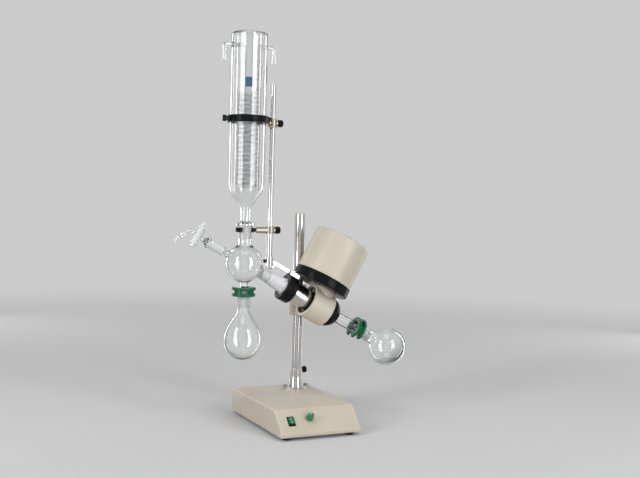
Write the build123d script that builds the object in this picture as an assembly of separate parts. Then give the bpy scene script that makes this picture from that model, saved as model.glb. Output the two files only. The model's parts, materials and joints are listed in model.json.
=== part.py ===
from build123d import *
import math
import os

# A small bench rotary evaporator, in millimetres.
# X runs to the right along the control panel, Y to the back and Z up.
# The origin is the middle of the base's footprint, on the bench.

# Fits
slide_gap = 0.08        # radial gap of a shaft or thread that turns or slides in its bore
seat_gap = 0.05         # radial gap of pieces that are pressed or clamped together
part_gap = 0.4          # gap between pieces that move past each other

# Base unit
base_width = 180.0
base_depth = 280.0
base_height = 49.0      # painted shell, without its feet
fascia_setback = 42.0   # how far the top edge of the sloping panel lies behind its foot
chin_height = 7.0       # upright lip below the sloping panel
shell_wall = 2.0
shell_round = 4.0
foot_height = 8.0
foot_radius = 10.0
foot_inset = 20.0
foot_taper = 0.5
foot_bevel = 1.0
foot_recess_radius = 4.6
foot_recess_depth = 4.4
foot_screw_radius = 2.0
foot_screw_head = 4.2
foot_screw_head_height = 2.6
foot_screw_key = 1.5
lug_size = 13.0
lug_height = 8.0
lug_roof = 2.0          # left above the screw's hole in a lug
plate_thickness = 2.0

# Weight that the column's socket is bolted to, inside the base
weight_width = 88.0
weight_depth = 84.0
weight_height = 30.0

# Column and its socket
column_x = 44.5
column_y = 92.7
column_radius = 12.5
column_bore = 10.0
column_top = 450.0
column_cap = 4.0
socket_foot_radius = 18.0
socket_neck_radius = 14.4
socket_neck_low = 83.4
socket_top = 103.0
socket_flange = 3.5
socket_depth = 14.0     # spigot below the top sheet
socket_floor = 2.5
socket_step = 2.0       # how far the foot flange stands out from the spigot
socket_groove = 0.8
socket_screw_reach = 25.0
socket_screw_radius = 2.5
socket_screw_head = 5.0
socket_screw_head_height = 5.0
socket_screw_length = 18.0
socket_screw_key = 2.4
ear_radius = 7.5
lock_knob_z = 98.0
lock_stud_radius = 3.0
lock_knob_radius = 7.0
lock_knob_length = 9.0
lock_knob_flutes = 16
lock_flute_radius = 0.8
stud_gap = 0.3          # between a lock's stud and what it bears on, when undone

# Sleeve that slides on the column and carries the head
sleeve_radius = 20.0
sleeve_half_height = 34.0
sleeve_chamfer = 1.5
pivot_boss_radius = 18.0
pivot_pin_radius = 8.0
pivot_pin_reach = 14.0   # how far the pin reaches into the sleeve's boss
pivot_face_gap = 0.4
pivot_pin_in = 12.0      # length of the pin held in the housing's boss
sleeve_knob_rise = 18.0
sleeve_stud_radius = 4.0
sleeve_knob_radius = 14.0
sleeve_knob_length = 17.0
sleeve_knob_lobes = 6
sleeve_lobe_radius = 4.0
tilt_screw_radius = 4.0
tilt_screw_turn = 233.0  # degrees round the pivot, from +X towards +Z
tilt_screw_back = 6.5    # behind the front face of the sleeve's boss
tilt_screw_sunk = 2.0
tilt_screw_recess = 1.6
tilt_screw_key = 2.3
tilt_key_depth = 4.0

# Head: the drive axis falls towards the evaporating flask
head_y = 13.0
drive_tilt = 28.4        # degrees below level
pivot_z = 256.5
pivot_s = 184.3          # from the distributor ball's centre to the tilt pivot, along the axis

# Gear housing, measured along the drive axis from the ball's centre
housing_radius = 37.0
housing_start = 166.0
housing_end = 220.0
housing_round = 3.0
recess_depth = 5.0
end_plate_thickness = 5.0
boss_radius = 20.0
boss_end = 63.6          # Y of the face that bears on the sleeve's boss
cap_radius = 31.0
cap_nose_radius = 22.0   # the cap narrows to this at its outer end
cap_skirt = 7.0          # straight part of the cap, before it narrows
cap_length = 24.0
cap_hollow = 8.0         # depth of the hollow in its inner face

# Motor on the housing, measured square to the drive axis
motor_s = 178.5
flange_radius = 64.0
flange_low = 39.0
flange_high = 60.0
flange_floor = 48.0
flange_wall = 5.0
tower_radius = 26.5
tower_s = 193.0           # middle of the housing's upper neck
cover_radius = 63.0
cover_top = 156.0
cover_wall = 2.0
cover_round = 6.0
motor_radius = 42.0
motor_length = 72.0
motor_wall = 4.0
armature_radius = 33.0
armature_length = 46.0
motor_shaft_radius = 4.0
motor_bearing_radius = 11.0
motor_bearing_width = 7.0
motor_screw_reach = 21.0
motor_screw_radius = 2.0
motor_screw_length = 12.0
motor_screw_head = 3.8
motor_screw_head_height = 4.0
motor_screw_key = 1.6
motor_end = 9.0          # thickness of the motor body's two ends
motor_slots = 12
motor_slot_width = 4.0
motor_slot_depth = 4.0
flange_lip = 5.0         # spigot of the flange inside the cover

# Crown wheel and pinion
pinion_teeth = 12
crown_teeth = 42
mesh_radius = 27.0       # middle of the teeth's meeting face, from the drive axis
face_width = 7.0
tooth_backlash = 1.3
tooth_foot_share = 0.72   # of the tooth's thickness, half its width at the root
tooth_top_share = 0.26    # and at its tip
crown_thickness = 7.0
wheel_gap = 1.4           # round the crown wheel in the housing
pinion_clearance = 0.25   # of the module, between a tip and the gap it runs in

# Hollow spindle, its bearings and seals
spindle_radius = 15.0
spindle_start = 124.0
spindle_end = 248.0
duct_radius = 12.0
duct_wall = 2.0
duct_seat = 1.2          # between the turning duct and the distributor's side neck
small_bearing_radius = 18.5
small_bearing_width = 4.0
large_bearing_radius = 21.0
large_bearing_width = 7.0
large_bearing_s = 206.0
shoulder_radius = 18.0   # bore of the housing on either side of that bearing
lip_seal_width = 5.0
cap_wall = 6.0

# Neck of the housing, and the nut that holds the distributor's side neck
neck_radius = 21.75
neck_start = 118.0
neck_bore = 16.5
collar_radius = 30.0
collar_start = 101.0
collar_end = 125.0
nut_start = 61.0
nut_small_radius = 13.6
nut_large_radius = 16.4
nut_thread_radius = 19.0
nut_thread_end = 109.6
nut_tab_reach = 19.6
nut_tab_width = 4.0
nut_tab_length = 7.0
nut_tabs = 4

# Glassware
ball_radius = 40.0
glass_wall = 2.0
joint_gap = 0.2                # radial gap in a ground joint
rim_length = 3.5
side_flange_radius = 17.0
side_flange_length = 3.0
socket_joint_radius = 15.0     # outside of a ground socket for a 29 mm joint
cone_joint_radius = 12.6       # outside of the matching ground cone, at its wide end
joint_taper = 1.4              # how much smaller the cone is at its narrow end
flask_neck_radius = 14.2
flask_rim_radius = 16.6
flask_rim_length = 3.0
top_joint_z = 424.0
top_cone_length = 30.0
top_rim_radius = 17.5
bottom_neck_radius = 8.0
bottom_joint_z = 285.0
bottom_cone_length = 30.0
feed_neck_radius = 7.0
feed_socket_radius = 11.0
feed_socket_start = -54.0
feed_socket_end = -94.0
feed_cone_radius = 8.8
feed_stem_radius = 4.0
feed_cone_length = 32.0
stopcock_s = -118.5
stopcock_radius = 9.0
stopcock_low = -18.0
stopcock_high = 21.0
key_radius = 5.6
key_hole_radius = 2.0
key_knob_radius = 5.5
key_knob_top = 33.0
key_foot_length = 6.0
key_grip_thickness = 5.0
feed_outlet_h = 8.0          # where the curved inlet tube leaves the stopcock
feed_outlet_run = (-22.0, 5.5)  # its first run, along X and Z
feed_hose_run = (-16.0, -11.0)  # from there to its ribbed end, which goes on in line
feed_tip_length = 22.0
feed_bend = 20.0
feed_bore = 1.6
feed_stem_bore = 2.2
hose_radius = 4.0
hose_bore = 2.4
barb_radius = 5.0
barb_pitch = 4.0
barb_count = 4
barb_length = 18.0

# Condenser
jacket_radius = 38.0
jacket_top = 824.0
jacket_round = 7.0
jacket_shoulder_z = 498.0
jacket_cone_z = 462.0
jacket_neck_radius = 10.5
jacket_flange_radius = 20.5
jacket_flange_height = 4.5
inner_tube_radius = 26.0
inner_tube_wall = 1.5
inner_tube_low = 496.0
coil_radius = 19.5
coil_tube_radius = 3.8
coil_turns = 21
coil_low = 504.0
coil_high = jacket_top - 124.0
water_z = jacket_top - 28.0
barb_reach = 17.0              # from the jacket's wall to the middle of the down-turned end
left_barb_end_z = water_z - 34.0
right_barb_end_z = water_z - 33.0
water_bend = 9.0

# Receiving flask
pear_neck_end_z = bottom_joint_z - 37.0
pear_stem_radius = 12.5
pear_radius = 40.5
pear_middle_z = bottom_joint_z - 102.0
pear_bottom_z = bottom_joint_z - 143.0
pear_flank_start = (6.0, 14.0)   # how the flank leaves the stem: outwards and down
pear_flank_end = (1.0, 31.0)     # how it meets the widest ring: inwards and up
pear_belly_drop = 22.0           # below the widest ring, where the belly starts to turn in
pear_belly_flat = 22.0           # radius at which it leaves the bottom
stem_drop = 3.0                # from the neck's end to the stem
flask_seat = 0.3               # between a flask's rim and the collar above it

# Evaporating flask, along the drive axis
flask_s = 396.7
flask_radius = 42.5
duct_cone_s = 308.0
duct_cone_length = 32.0

# Snap clips on the two flask joints
clip_radius = 25.5
clip_band = 6.0
clip_gap = 7.0
clip_wall = 4.0
clip_mouth = 22.0
clip_rib = 10.0
clip_ease = 0.3

# Support rod and its clamps
rod_x = -61.5
rod_radius = 6.0
rod_low = 332.0
rod_top = 721.0
arm_thickness = 8.0
arm_eye_radius = 8.5
arm_eye_low = 338.0
arm_eye_high = 358.0
arm_tip_s = 34.0
arm_rise_s = 60.0
arm_tip_h = 33.0
arm_under = 5.0
arm_top_h = 36.0
arm_low_h = 20.8
arm_screw_s = 107.0
arm_screw_spread = 12.0  # between the two screws, across the arm
arm_foot_end = 122.0
arm_foot_width = 22.0
arm_screw_radius = 2.5
arm_screw_head = 4.2
arm_screw_head_height = 4.0
arm_screw_key = 2.2
thumb_z = 349.0
thumb_radius = 4.0
thumb_length = 5.2
thumb_stud_radius = 2.0
thumb_flutes = 10
thumb_flute_radius = 0.6
clamp_barrel_radius = 6.6
clamp_knob_radius = 7.6
clamp_knob_length = 12.0
clamp_knob_flutes = 8
clamp_flute_radius = 1.6
clamp_stud_radius = 2.5
clamp_boss_radius = 9.5
lower_clamp_z = 414.6
lower_jaw_height = 9.0
lower_jaw_wall = 5.0
lower_shank = 8.0
clamp_neck = 3.0               # of the barrel, up to the jaws
lower_boss_height = 16.0
upper_boss_height = 19.0
upper_clamp_z = 640.0
upper_ring_z = 644.4
upper_ring_height = 14.6
upper_ring_wall = 4.2
upper_lug_reach = 53.5
upper_lug_width = 12.0
upper_hinge_radius = 4.0
upper_split = 1.2

# Fascia controls
switch_x = -60.5
switch_slope = 29.0            # up the sloping panel, from its foot
switch_width = 15.0
switch_height = 22.0
switch_rim = 2.0
switch_depth = 14.0
switch_lip = 1.5               # the rim's overhang round the switch's body
rocker_width = 10.0
rocker_height = 16.0
rocker_radius = 16.0
rocker_proud = 1.6             # the rocker's crown above the rim
rocker_dish_radius = 20.0
rocker_dish_depth = 0.4
rocker_body = 8.0
rocker_tilt = 6.0              # each way, so that one end is always pressed in
rocker_pivot_depth = 2.0       # below the panel
rocker_travel = 1.2            # room for its ends below it
knob_x = -19.3
knob_slope = 32.7
knob_radius = 8.0
knob_height = 12.0
knob_bore = 3.0
knob_lift = 2.4                # gap under the knob
knob_shaft = 10.0
knob_flutes = 20
knob_flute_radius = 0.8
knob_mark = 1.0
bush_wall = 1.0
control_radius = 8.5
control_depth = 10.0

# Rear connectors and the electronics
inlet_x = -50.0
inlet_z = 33.0
inlet_width = 27.5
inlet_height = 20.0
inlet_depth = 20.0
inlet_rim = 4.0
inlet_plate = 3.0
inlet_wall = 2.0
inlet_gap = 0.2
inlet_pin = 2.0
inlet_pin_pitch = 7.0
lead_socket_x = -15.0
lead_socket_radius = 8.0
lead_socket_depth = 18.0
lead_socket_wall = 2.0
lead_socket_rim = 3.0
lead_socket_lip = 4.0
lead_pins = 4
lead_pin_radius = 0.8
board_width = 70.0
board_depth = 90.0
board_thickness = 1.6
board_x = -42.0
board_y = -40.0
pillar_height = 7.0
pillar_radius = 3.0
capacitors = 3
capacitor_radius = 6.0
capacitor_height = 14.0
capacitor_pitch = 16.0
heat_fins = 5
heat_fin_pitch = 4.0
heat_fin_width = 22.0
heat_fin_height = 14.0
relay_x = 8.0
relay_width = 16.0
relay_height = 11.0
transformer_size = 36.0
transformer_height = 28.0
transformer_yoke = 4.0
transformer_x = 40.0
transformer_y = -50.0

parts = {}


# Shared shapes


def disc(radius, low, high):
    """Upright cylinder on the Z axis."""
    return Pos(0, 0, (low + high) / 2) * Cylinder(radius, high - low)


def ring(outer, inner, low, high):
    """Upright tube on the Z axis."""
    return disc(outer, low, high) - disc(inner, low - 1, high + 1)


def block(x0, x1, y0, y1, z0, z1):
    """Box from its lowest to its highest corner."""
    return Pos((x0 + x1) / 2, (y0 + y1) / 2, (z0 + z1) / 2) * Box(x1 - x0, y1 - y0, z1 - z0)


def turned(corners):
    """Solid turned about Z from the (radius, height) corners of its half section."""
    outline = Polyline(*[(radius, 0, height) for radius, height in corners], close=True)
    return revolve(make_face(outline), Axis.Z)


def lying_back(x, y, z):
    """Frame at a point with its Z running to the back."""
    return Pos(x, y, z) * Rot(-90, 0, 0)


def lying_right(x, y, z):
    """Frame at a point with its Z running to the right."""
    return Pos(x, y, z) * Rot(0, 90, 0)


def together(pieces):
    """Several shapes joined into one."""
    whole = pieces[0]
    for piece in pieces[1:]:
        whole = whole + piece
    return whole


def group(pieces):
    """Separate solids that share one node."""
    solids = []
    for piece in pieces:
        solids.extend(piece.solids())
    return Compound(children=solids)


def screw(radius, head_radius, head_height, length, socket_radius=0.0):
    """Cap screw whose shank points down -Z from the underside of its head at zero."""
    body = disc(head_radius, 0, head_height) + disc(radius, -length, 0.01)
    if socket_radius:
        recess = extrude(RegularPolygon(socket_radius, 6), head_height * 0.6)
        body = body - Pos(0, 0, head_height * 0.45) * recess
    return body


def grip_knob(radius, length, stud_radius, stud_length, flutes=0, flute_radius=1.2):
    """Turning knob on +Z with its stud on -Z."""
    head = disc(radius, 0, length)
    head = fillet(head.edges().group_by(Axis.Z)[-1], min(1.2, length / 5))
    for i in range(flutes):
        groove = Rot(0, 0, 360 / flutes * i) * Pos(radius + flute_radius * 0.45, 0, 0)
        head = head - groove * disc(flute_radius, -1, length + 1)
    return head + disc(stud_radius, -stud_length, 0.01)


# Places on the tilted head, and of the glass at its upper end

tilt = math.radians(drive_tilt)
axis_way = Vector(math.cos(tilt), 0, -math.sin(tilt))
square_way = Vector(math.sin(tilt), 0, math.cos(tilt))
pivot_point = Vector(column_x, head_y, pivot_z)
ball_point = pivot_point - axis_way * pivot_s
ball_x = ball_point.X
ball_z = ball_point.Z
side_flange_s = nut_thread_end + part_gap
side_flange_end = side_flange_s + side_flange_length


def on_head(s, h=0.0):
    """Point at s along the drive axis from the ball's centre, and h square to it."""
    return ball_point + axis_way * s + square_way * h


def axis_plane(s=0.0):
    """Frame whose Z runs down the drive axis, with X to the back and Y square upwards."""
    return Plane(origin=on_head(s), x_dir=(0, 1, 0), z_dir=axis_way)


def tower_plane(s):
    """Frame whose Z is square to the drive axis and points up at the motor."""
    return Plane(origin=on_head(s), x_dir=(0, 1, 0), z_dir=square_way)


def upright(x, y, z=0.0):
    """Frame with Z up at a point in plan."""
    return Pos(x, y, z)


# Base unit

base_top = foot_height + base_height
slope = math.atan2(base_height - chin_height, fascia_setback)
front = -base_depth / 2
back = base_depth / 2
chin_top = foot_height + chin_height
foot_places = [(sx * (base_width / 2 - foot_inset), sy * (base_depth / 2 - foot_inset))
               for sx in (-1, 1) for sy in (-1, 1)]
plate_top = foot_height + plate_thickness
spigot_radius = socket_foot_radius - socket_step
spigot_low = base_top - socket_depth
switch_body_width = switch_width - 2 * switch_lip
switch_body_height = switch_height - 2 * switch_lip
bush_radius = knob_bore + bush_wall


def fascia_plane(x, up_slope):
    """Frame on the sloping panel: X along it, Z out of it."""
    y = front + up_slope * math.cos(slope)
    z = chin_top + up_slope * math.sin(slope)
    return Plane(origin=(x, y, z), x_dir=(1, 0, 0), z_dir=(0, -math.sin(slope), math.cos(slope)))


def side_profile(wall, low):
    """Side outline of the shell, moved inwards by wall and reaching down to low."""
    shift = wall / math.cos(slope)
    foot_y = front + wall
    foot_z = chin_top + wall * math.tan(slope) - shift
    top_z = base_top - wall
    top_y = front + (top_z - chin_top + shift) / math.tan(slope)
    return [(foot_y, low), (foot_y, foot_z), (top_y, top_z), (back - wall, top_z), (back - wall, low)]


def shell_solid(wall, low):
    """The shell's outline run across its width."""
    half = base_width / 2 - wall
    outline = Polyline(*[(-half, y, z) for y, z in side_profile(wall, low)], close=True)
    return extrude(make_face(outline), 2 * half, dir=(1, 0, 0))


def make_base_housing():
    outer = shell_solid(0.0, foot_height)
    rounded = [e for e in outer.edges() if e.center().Z > foot_height + 0.1]
    outer = fillet(rounded, shell_round)
    shell = outer - shell_solid(shell_wall, foot_height - 1)
    lug_top = plate_top + lug_height
    for x, y in foot_places:
        side = math.copysign(1, x)
        end = math.copysign(1, y)
        x_wall = side * (base_width / 2 - shell_wall / 2)
        y_wall = end * (base_depth / 2 - shell_wall / 2)
        if y < 0:
            y_wall = front + shell_wall / 2
        x_in = x - side * lug_size / 2
        y_in = y - end * lug_size / 2
        lug = block(min(x_in, x_wall), max(x_in, x_wall), min(y_in, y_wall), max(y_in, y_wall),
                    plate_top, lug_top)
        shell = shell + (lug & shell_solid(shell_wall / 2, foot_height - 1))
        hole = disc(foot_screw_radius + seat_gap, plate_top - 1, lug_top - lug_roof)
        shell = shell - upright(x, y) * hole
    shell = shell - upright(column_x, column_y) * disc(spigot_radius + seat_gap, 0, base_top + 1)
    for x in (-socket_screw_reach, socket_screw_reach):
        hole = disc(socket_screw_radius + part_gap, 0, base_top + 1)
        shell = shell - upright(column_x + x, column_y) * hole
    switch_hole = Box(switch_body_width + part_gap, switch_body_height + part_gap, 6 * shell_wall)
    shell = shell - fascia_plane(switch_x, switch_slope) * switch_hole
    shell = shell - fascia_plane(knob_x, knob_slope) * Cylinder(bush_radius + seat_gap, 6 * shell_wall)
    inlet = Pos(inlet_x, back, inlet_z) * Box(inlet_width, 3 * shell_wall, inlet_height)
    lead = lying_back(lead_socket_x, back, inlet_z) * Cylinder(lead_socket_radius, 3 * shell_wall)
    return shell - inlet - lead


def make_bottom_plate():
    half = base_width / 2 - shell_wall - part_gap / 2
    depth = base_depth / 2 - shell_wall - part_gap / 2
    plate = block(-half, half, -depth, depth, foot_height, plate_top)
    for x, y in foot_places:
        plate = plate - upright(x, y) * disc(foot_screw_radius + part_gap, foot_height - 1, plate_top + 1)
    for x, y in pillar_places():
        plate = plate + upright(x, y) * disc(pillar_radius, plate_top - 0.5, plate_top + pillar_height)
    return plate


def pillar_places():
    """Plan places of the pillars under the control board."""
    inset = pillar_radius + 2
    return [(board_x + sx * (board_width / 2 - inset), board_y + sy * (board_depth / 2 - inset))
            for sx in (-1, 1) for sy in (-1, 1)]


def make_foot():
    sole = foot_radius - foot_taper
    foot = turned([(0, 0), (sole - foot_bevel, 0), (sole, foot_bevel), (foot_radius, foot_height),
                   (0, foot_height)])
    foot = foot - disc(foot_recess_radius, -1, foot_recess_depth)
    return foot - disc(foot_screw_radius + seat_gap, 0, foot_height + 1)


def make_base():
    parts["base_housing"] = make_base_housing()
    parts["bottom_plate"] = make_bottom_plate()
    parts["rubber_feet"] = group([upright(x, y) * make_foot() for x, y in foot_places])
    shank = plate_top + lug_height - lug_roof - part_gap - foot_recess_depth
    foot_screw = Rot(180, 0, 0) * screw(foot_screw_radius, foot_screw_head, foot_screw_head_height, shank,
                                        foot_screw_key)
    parts["foot_screws"] = group([upright(x, y, foot_recess_depth) * foot_screw for x, y in foot_places])
    weight_top = base_top - shell_wall
    weight = block(column_x - weight_width / 2, column_x + weight_width / 2,
                   column_y - weight_depth / 2, column_y + weight_depth / 2,
                   weight_top - weight_height, weight_top)
    weight = weight & shell_solid(shell_wall + part_gap, foot_height)
    weight = weight - upright(column_x, column_y) * disc(spigot_radius + seat_gap, 0, base_top)
    for x in (-socket_screw_reach, socket_screw_reach):
        hole = disc(socket_screw_radius + seat_gap, weight_top - socket_screw_length, base_top)
        weight = weight - upright(column_x + x, column_y) * hole
    parts["base_weight"] = weight


def make_socket():
    foot = socket_foot_radius
    neck = socket_neck_radius
    low = spigot_low
    groove_z = socket_neck_low
    flange_top = base_top + socket_flange
    body = turned([(0, low - socket_floor), (spigot_radius, low - socket_floor), (spigot_radius, base_top),
                   (foot, base_top), (foot, flange_top), (foot - 1.2, flange_top),
                   (neck, groove_z), (neck - socket_groove, groove_z),
                   (neck - socket_groove, groove_z + socket_groove), (neck, groove_z + socket_groove),
                   (neck, socket_top - 1), (neck - 1, socket_top), (0, socket_top)])
    ears = [Pos(x, 0, 0) * disc(ear_radius, base_top, flange_top)
            for x in (-socket_screw_reach, socket_screw_reach)]
    web = block(-socket_screw_reach, socket_screw_reach, -ear_radius, ear_radius, base_top, flange_top)
    body = together([body, web] + ears)
    body = body - disc(column_radius + slide_gap, low, socket_top + 1)
    for x in (-socket_screw_reach, socket_screw_reach):
        body = body - Pos(x, 0, 0) * disc(socket_screw_radius + seat_gap, low, flange_top + 1)
    stud_hole = Pos(0, 0, lock_knob_z) * Rot(0, 90, 0) * disc(lock_stud_radius + slide_gap, 5, foot + neck)
    parts["column_socket"] = upright(column_x, column_y) * (body - stud_hole)
    bolt = screw(socket_screw_radius, socket_screw_head, socket_screw_head_height, socket_screw_length,
                 socket_screw_key)
    parts["socket_screws"] = group([upright(column_x + x, column_y, flange_top) * bolt
                                    for x in (-socket_screw_reach, socket_screw_reach)])
    knob_start = neck + part_gap
    stud = knob_start - column_radius - stud_gap
    knob = grip_knob(lock_knob_radius, lock_knob_length, lock_stud_radius, stud, lock_knob_flutes,
                     lock_flute_radius)
    place = Pos(column_x + knob_start, column_y, lock_knob_z) * Rot(0, 90, 0)
    parts["column_lock_knob"] = place * knob
    tube = disc(column_radius, low + stud_gap, column_top) - disc(column_bore, low, column_top - column_cap)
    tube = chamfer(tube.edges().group_by(Axis.Z)[-1], 0.8)
    parts["column_tube"] = upright(column_x, column_y) * tube


def make_controls():
    place = fascia_plane(switch_x, switch_slope)
    frame = Pos(0, 0, switch_rim / 2) * Box(switch_width, switch_height, switch_rim)
    frame = fillet(frame.edges().group_by(Axis.Z)[-1], switch_rim * 0.4)
    frame = frame + Pos(0, 0, -switch_depth / 2) * Box(switch_body_width, switch_body_height, switch_depth)
    crown = switch_rim + rocker_proud
    mouth = 2 * (rocker_body - rocker_proud + rocker_travel + part_gap)
    hollow = Box(rocker_width + 2 * part_gap, rocker_height + 2 * part_gap, mouth)
    frame = frame - Pos(0, 0, switch_rim) * hollow
    parts["switch_frame"] = place * frame
    # The rocker is a slice of a round bar on a level pivot inside the frame.
    slab = Pos(0, 0, crown - rocker_radius) * Rot(0, 90, 0) * Cylinder(rocker_radius, rocker_width)
    keep = Box(rocker_width, rocker_height - part_gap, rocker_body)
    slab = slab & Pos(0, 0, crown - rocker_body / 2) * keep
    dish = Rot(0, 90, 0) * Cylinder(rocker_dish_radius, rocker_width + 1)
    slab = slab - Pos(0, 0, crown + rocker_dish_radius - rocker_dish_depth) * dish
    tipped = Pos(0, 0, -rocker_pivot_depth) * Rot(-rocker_tilt, 0, 0) * Pos(0, 0, rocker_pivot_depth)
    parts["switch_rocker"] = place * tipped * slab
    place = fascia_plane(knob_x, knob_slope)
    control = disc(control_radius, -shell_wall - control_depth, -shell_wall)
    control = control + disc(bush_radius, -shell_wall - 0.1, knob_lift - part_gap)
    shaft_hole = disc(knob_bore + slide_gap, -knob_shaft + knob_lift - part_gap, knob_lift)
    parts["speed_control"] = place * (control - shaft_hole)
    knob = disc(knob_radius, 0, knob_height)
    knob = fillet(knob.edges().group_by(Axis.Z)[-1], knob_mark)
    for i in range(knob_flutes):
        flute = disc(knob_flute_radius, knob_height / 5, knob_height + 1)
        turn = Rot(0, 0, 360 / knob_flutes * i)
        knob = knob - turn * Pos(knob_radius + knob_flute_radius * 0.45, 0, 0) * flute
    knob = knob + disc(knob_bore, -knob_shaft, 0.1)
    mark = Pos(0, knob_radius / 2, knob_height) * Box(knob_mark, knob_radius - 2 * knob_mark, knob_mark)
    parts["speed_knob"] = place * Pos(0, 0, knob_lift) * (knob - mark)


def make_power_inlet():
    half_w = inlet_width / 2
    half_h = inlet_height / 2
    body_w = half_w - inlet_gap
    body_h = half_h - inlet_gap
    body = block(-body_w, body_w, -inlet_depth, 0.1, -body_h, body_h)
    rim = block(-half_w - inlet_rim, half_w + inlet_rim, 0, inlet_plate,
                -half_h - inlet_rim / 2, half_h + inlet_rim / 2)
    rim = fillet(rim.edges().filter_by(Axis.Y), inlet_plate)
    cavity = block(-half_w + inlet_wall, half_w - inlet_wall, inlet_wall - inlet_depth, inlet_plate + 1,
                   -half_h + inlet_wall, half_h - inlet_wall)
    cavity = chamfer([e for e in cavity.edges().filter_by(Axis.Y) if e.center().Z > 0], 2 * inlet_wall)
    inlet = body + rim - cavity
    for i in (-1, 0, 1):
        x = i * inlet_pin_pitch
        z = inlet_wall * (1 - 2 * abs(i))
        inlet = inlet + block(x - inlet_pin / 2, x + inlet_pin / 2, inlet_wall - inlet_depth - 0.1,
                              -2 * inlet_wall, z - inlet_pin, z + inlet_pin)
    return Pos(inlet_x, back, inlet_z) * inlet


def make_lead_socket():
    bore = lead_socket_radius - lead_socket_wall
    lead = ring(lead_socket_radius + lead_socket_rim, bore, 0, lead_socket_lip)
    lead = lead + disc(lead_socket_radius - seat_gap, -lead_socket_depth, 0.1)
    lead = lead - disc(bore, lead_socket_wall - lead_socket_depth, lead_socket_lip + 1)
    for i in range(lead_pins):
        pin = disc(lead_pin_radius, -lead_socket_depth + 1, -lead_socket_lip)
        lead = lead + Rot(0, 0, 360 / lead_pins * (i + 0.5)) * Pos(bore / 2, 0, 0) * pin
    return Pos(lead_socket_x, back, inlet_z) * Rot(-90, 0, 0) * lead


def make_board():
    low = plate_top + pillar_height
    place = Pos(board_x, board_y, low + board_thickness)
    sheet = Box(board_width, board_depth, board_thickness)
    board = Pos(board_x, board_y, low + board_thickness / 2) * sheet
    for i in range(capacitors):
        x = (i - (capacitors - 1) / 2) * capacitor_pitch
        board = board + place * Pos(x, board_depth / 3, 0) * disc(capacitor_radius, -1, capacitor_height)
    for i in range(heat_fins):
        y = (i - (heat_fins - 1) / 2) * heat_fin_pitch
        fin = Box(heat_fin_width, 1, heat_fin_height)
        board = board + place * Pos(-board_width / 5, y, heat_fin_height / 2) * fin
    board = board + place * Pos(-board_width / 5, 0, 1) * Box(heat_fin_width, heat_fins * heat_fin_pitch, 2)
    relay = block(relay_x, relay_x + relay_width, -relay_width / 2, relay_width / 2, -1, relay_height)
    return board + place * relay


def make_electrics():
    parts["power_inlet"] = make_power_inlet()
    parts["motor_lead_socket"] = make_lead_socket()
    parts["control_board"] = make_board()
    half = transformer_size / 2
    core = block(-half, half, -half * 0.8, half * 0.8, 0, transformer_height)
    coil = block(-half * 0.6, half * 0.6, -half * 1.2, half * 1.2, transformer_yoke,
                 transformer_height - transformer_yoke)
    coil = fillet(coil.edges().filter_by(Axis.Y), transformer_yoke * 0.7)
    parts["transformer"] = Pos(transformer_x, transformer_y, plate_top) * (core + coil)


# Sleeve, tilt pivot and their locks

sleeve_face = boss_end + pivot_face_gap
pin_front = boss_end - pivot_pin_in
pin_end = boss_end + pivot_pin_reach


def make_sleeve():
    low = pivot_z - sleeve_half_height
    high = pivot_z + sleeve_half_height
    body = disc(sleeve_radius, low, high)
    ends = body.edges().group_by(Axis.Z)
    body = chamfer([ends[0][0], ends[-1][0]], sleeve_chamfer)
    body = upright(column_x, column_y) * body
    at_pivot = lying_back(column_x, sleeve_face, pivot_z)
    body = body + at_pivot * disc(pivot_boss_radius, 0, column_y - sleeve_face)
    body = body - upright(column_x, column_y) * disc(column_radius + slide_gap, low - 1, high + 1)
    body = body - at_pivot * disc(pivot_pin_radius + slide_gap, -1, pin_end + stud_gap - sleeve_face)
    knob_z = pivot_z + sleeve_knob_rise
    stud_hole = disc(sleeve_stud_radius + slide_gap, 5, 2 * sleeve_radius)
    body = body - lying_back(column_x, column_y, knob_z) * stud_hole
    middle = Pos(column_x, sleeve_face + tilt_screw_back, pivot_z)
    screw_way = middle * Rot(0, -tilt_screw_turn, 0) * Rot(0, 90, 0)
    sunk = pivot_boss_radius - tilt_screw_sunk
    far = 2 * pivot_boss_radius
    body = body - screw_way * disc(tilt_screw_radius + seat_gap, pivot_pin_radius / 2, far)
    body = body - screw_way * disc(tilt_screw_radius + tilt_screw_recess, sunk - 0.5, far)
    parts["clamp_sleeve"] = body
    grub = disc(tilt_screw_radius, pivot_pin_radius + slide_gap + 0.1, sunk)
    hexagon = extrude(RegularPolygon(tilt_screw_key, 6), tilt_key_depth + 1)
    parts["tilt_lock_screw"] = screw_way * (grub - Pos(0, 0, sunk - tilt_key_depth) * hexagon)
    knob_start = sleeve_radius + part_gap
    stud = knob_start - column_radius - stud_gap
    knob = grip_knob(sleeve_knob_radius, sleeve_knob_length, sleeve_stud_radius, stud, sleeve_knob_lobes,
                     sleeve_lobe_radius)
    parts["sleeve_lock_knob"] = lying_back(column_x, column_y + knob_start, knob_z) * knob
    parts["tilt_pin"] = lying_back(column_x, 0, pivot_z) * disc(pivot_pin_radius, pin_front, pin_end)


# Gear housing

module = 2 * mesh_radius / crown_teeth
pinion_pitch_radius = module * pinion_teeth / 2
crown_face_s = motor_s + pinion_pitch_radius + (1 + pinion_clearance) * module
crown_tip_s = motor_s + pinion_pitch_radius - module
crown_end_s = crown_face_s + crown_thickness
crown_radius = mesh_radius + face_width / 2
cavity_radius = crown_radius + wheel_gap
cavity_end = crown_end_s + wheel_gap
plate_start = housing_start + recess_depth
plate_end = plate_start + end_plate_thickness
pinion_low = mesh_radius - face_width / 2
pinion_cavity = pinion_pitch_radius + module + 2 * part_gap
pinion_end_gap = 1.2
motor_head_h = flange_floor - motor_screw_head_height - 0.2
motor_screw_low = motor_head_h - motor_screw_length
small_bearing_s = plate_start - 1.0


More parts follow.
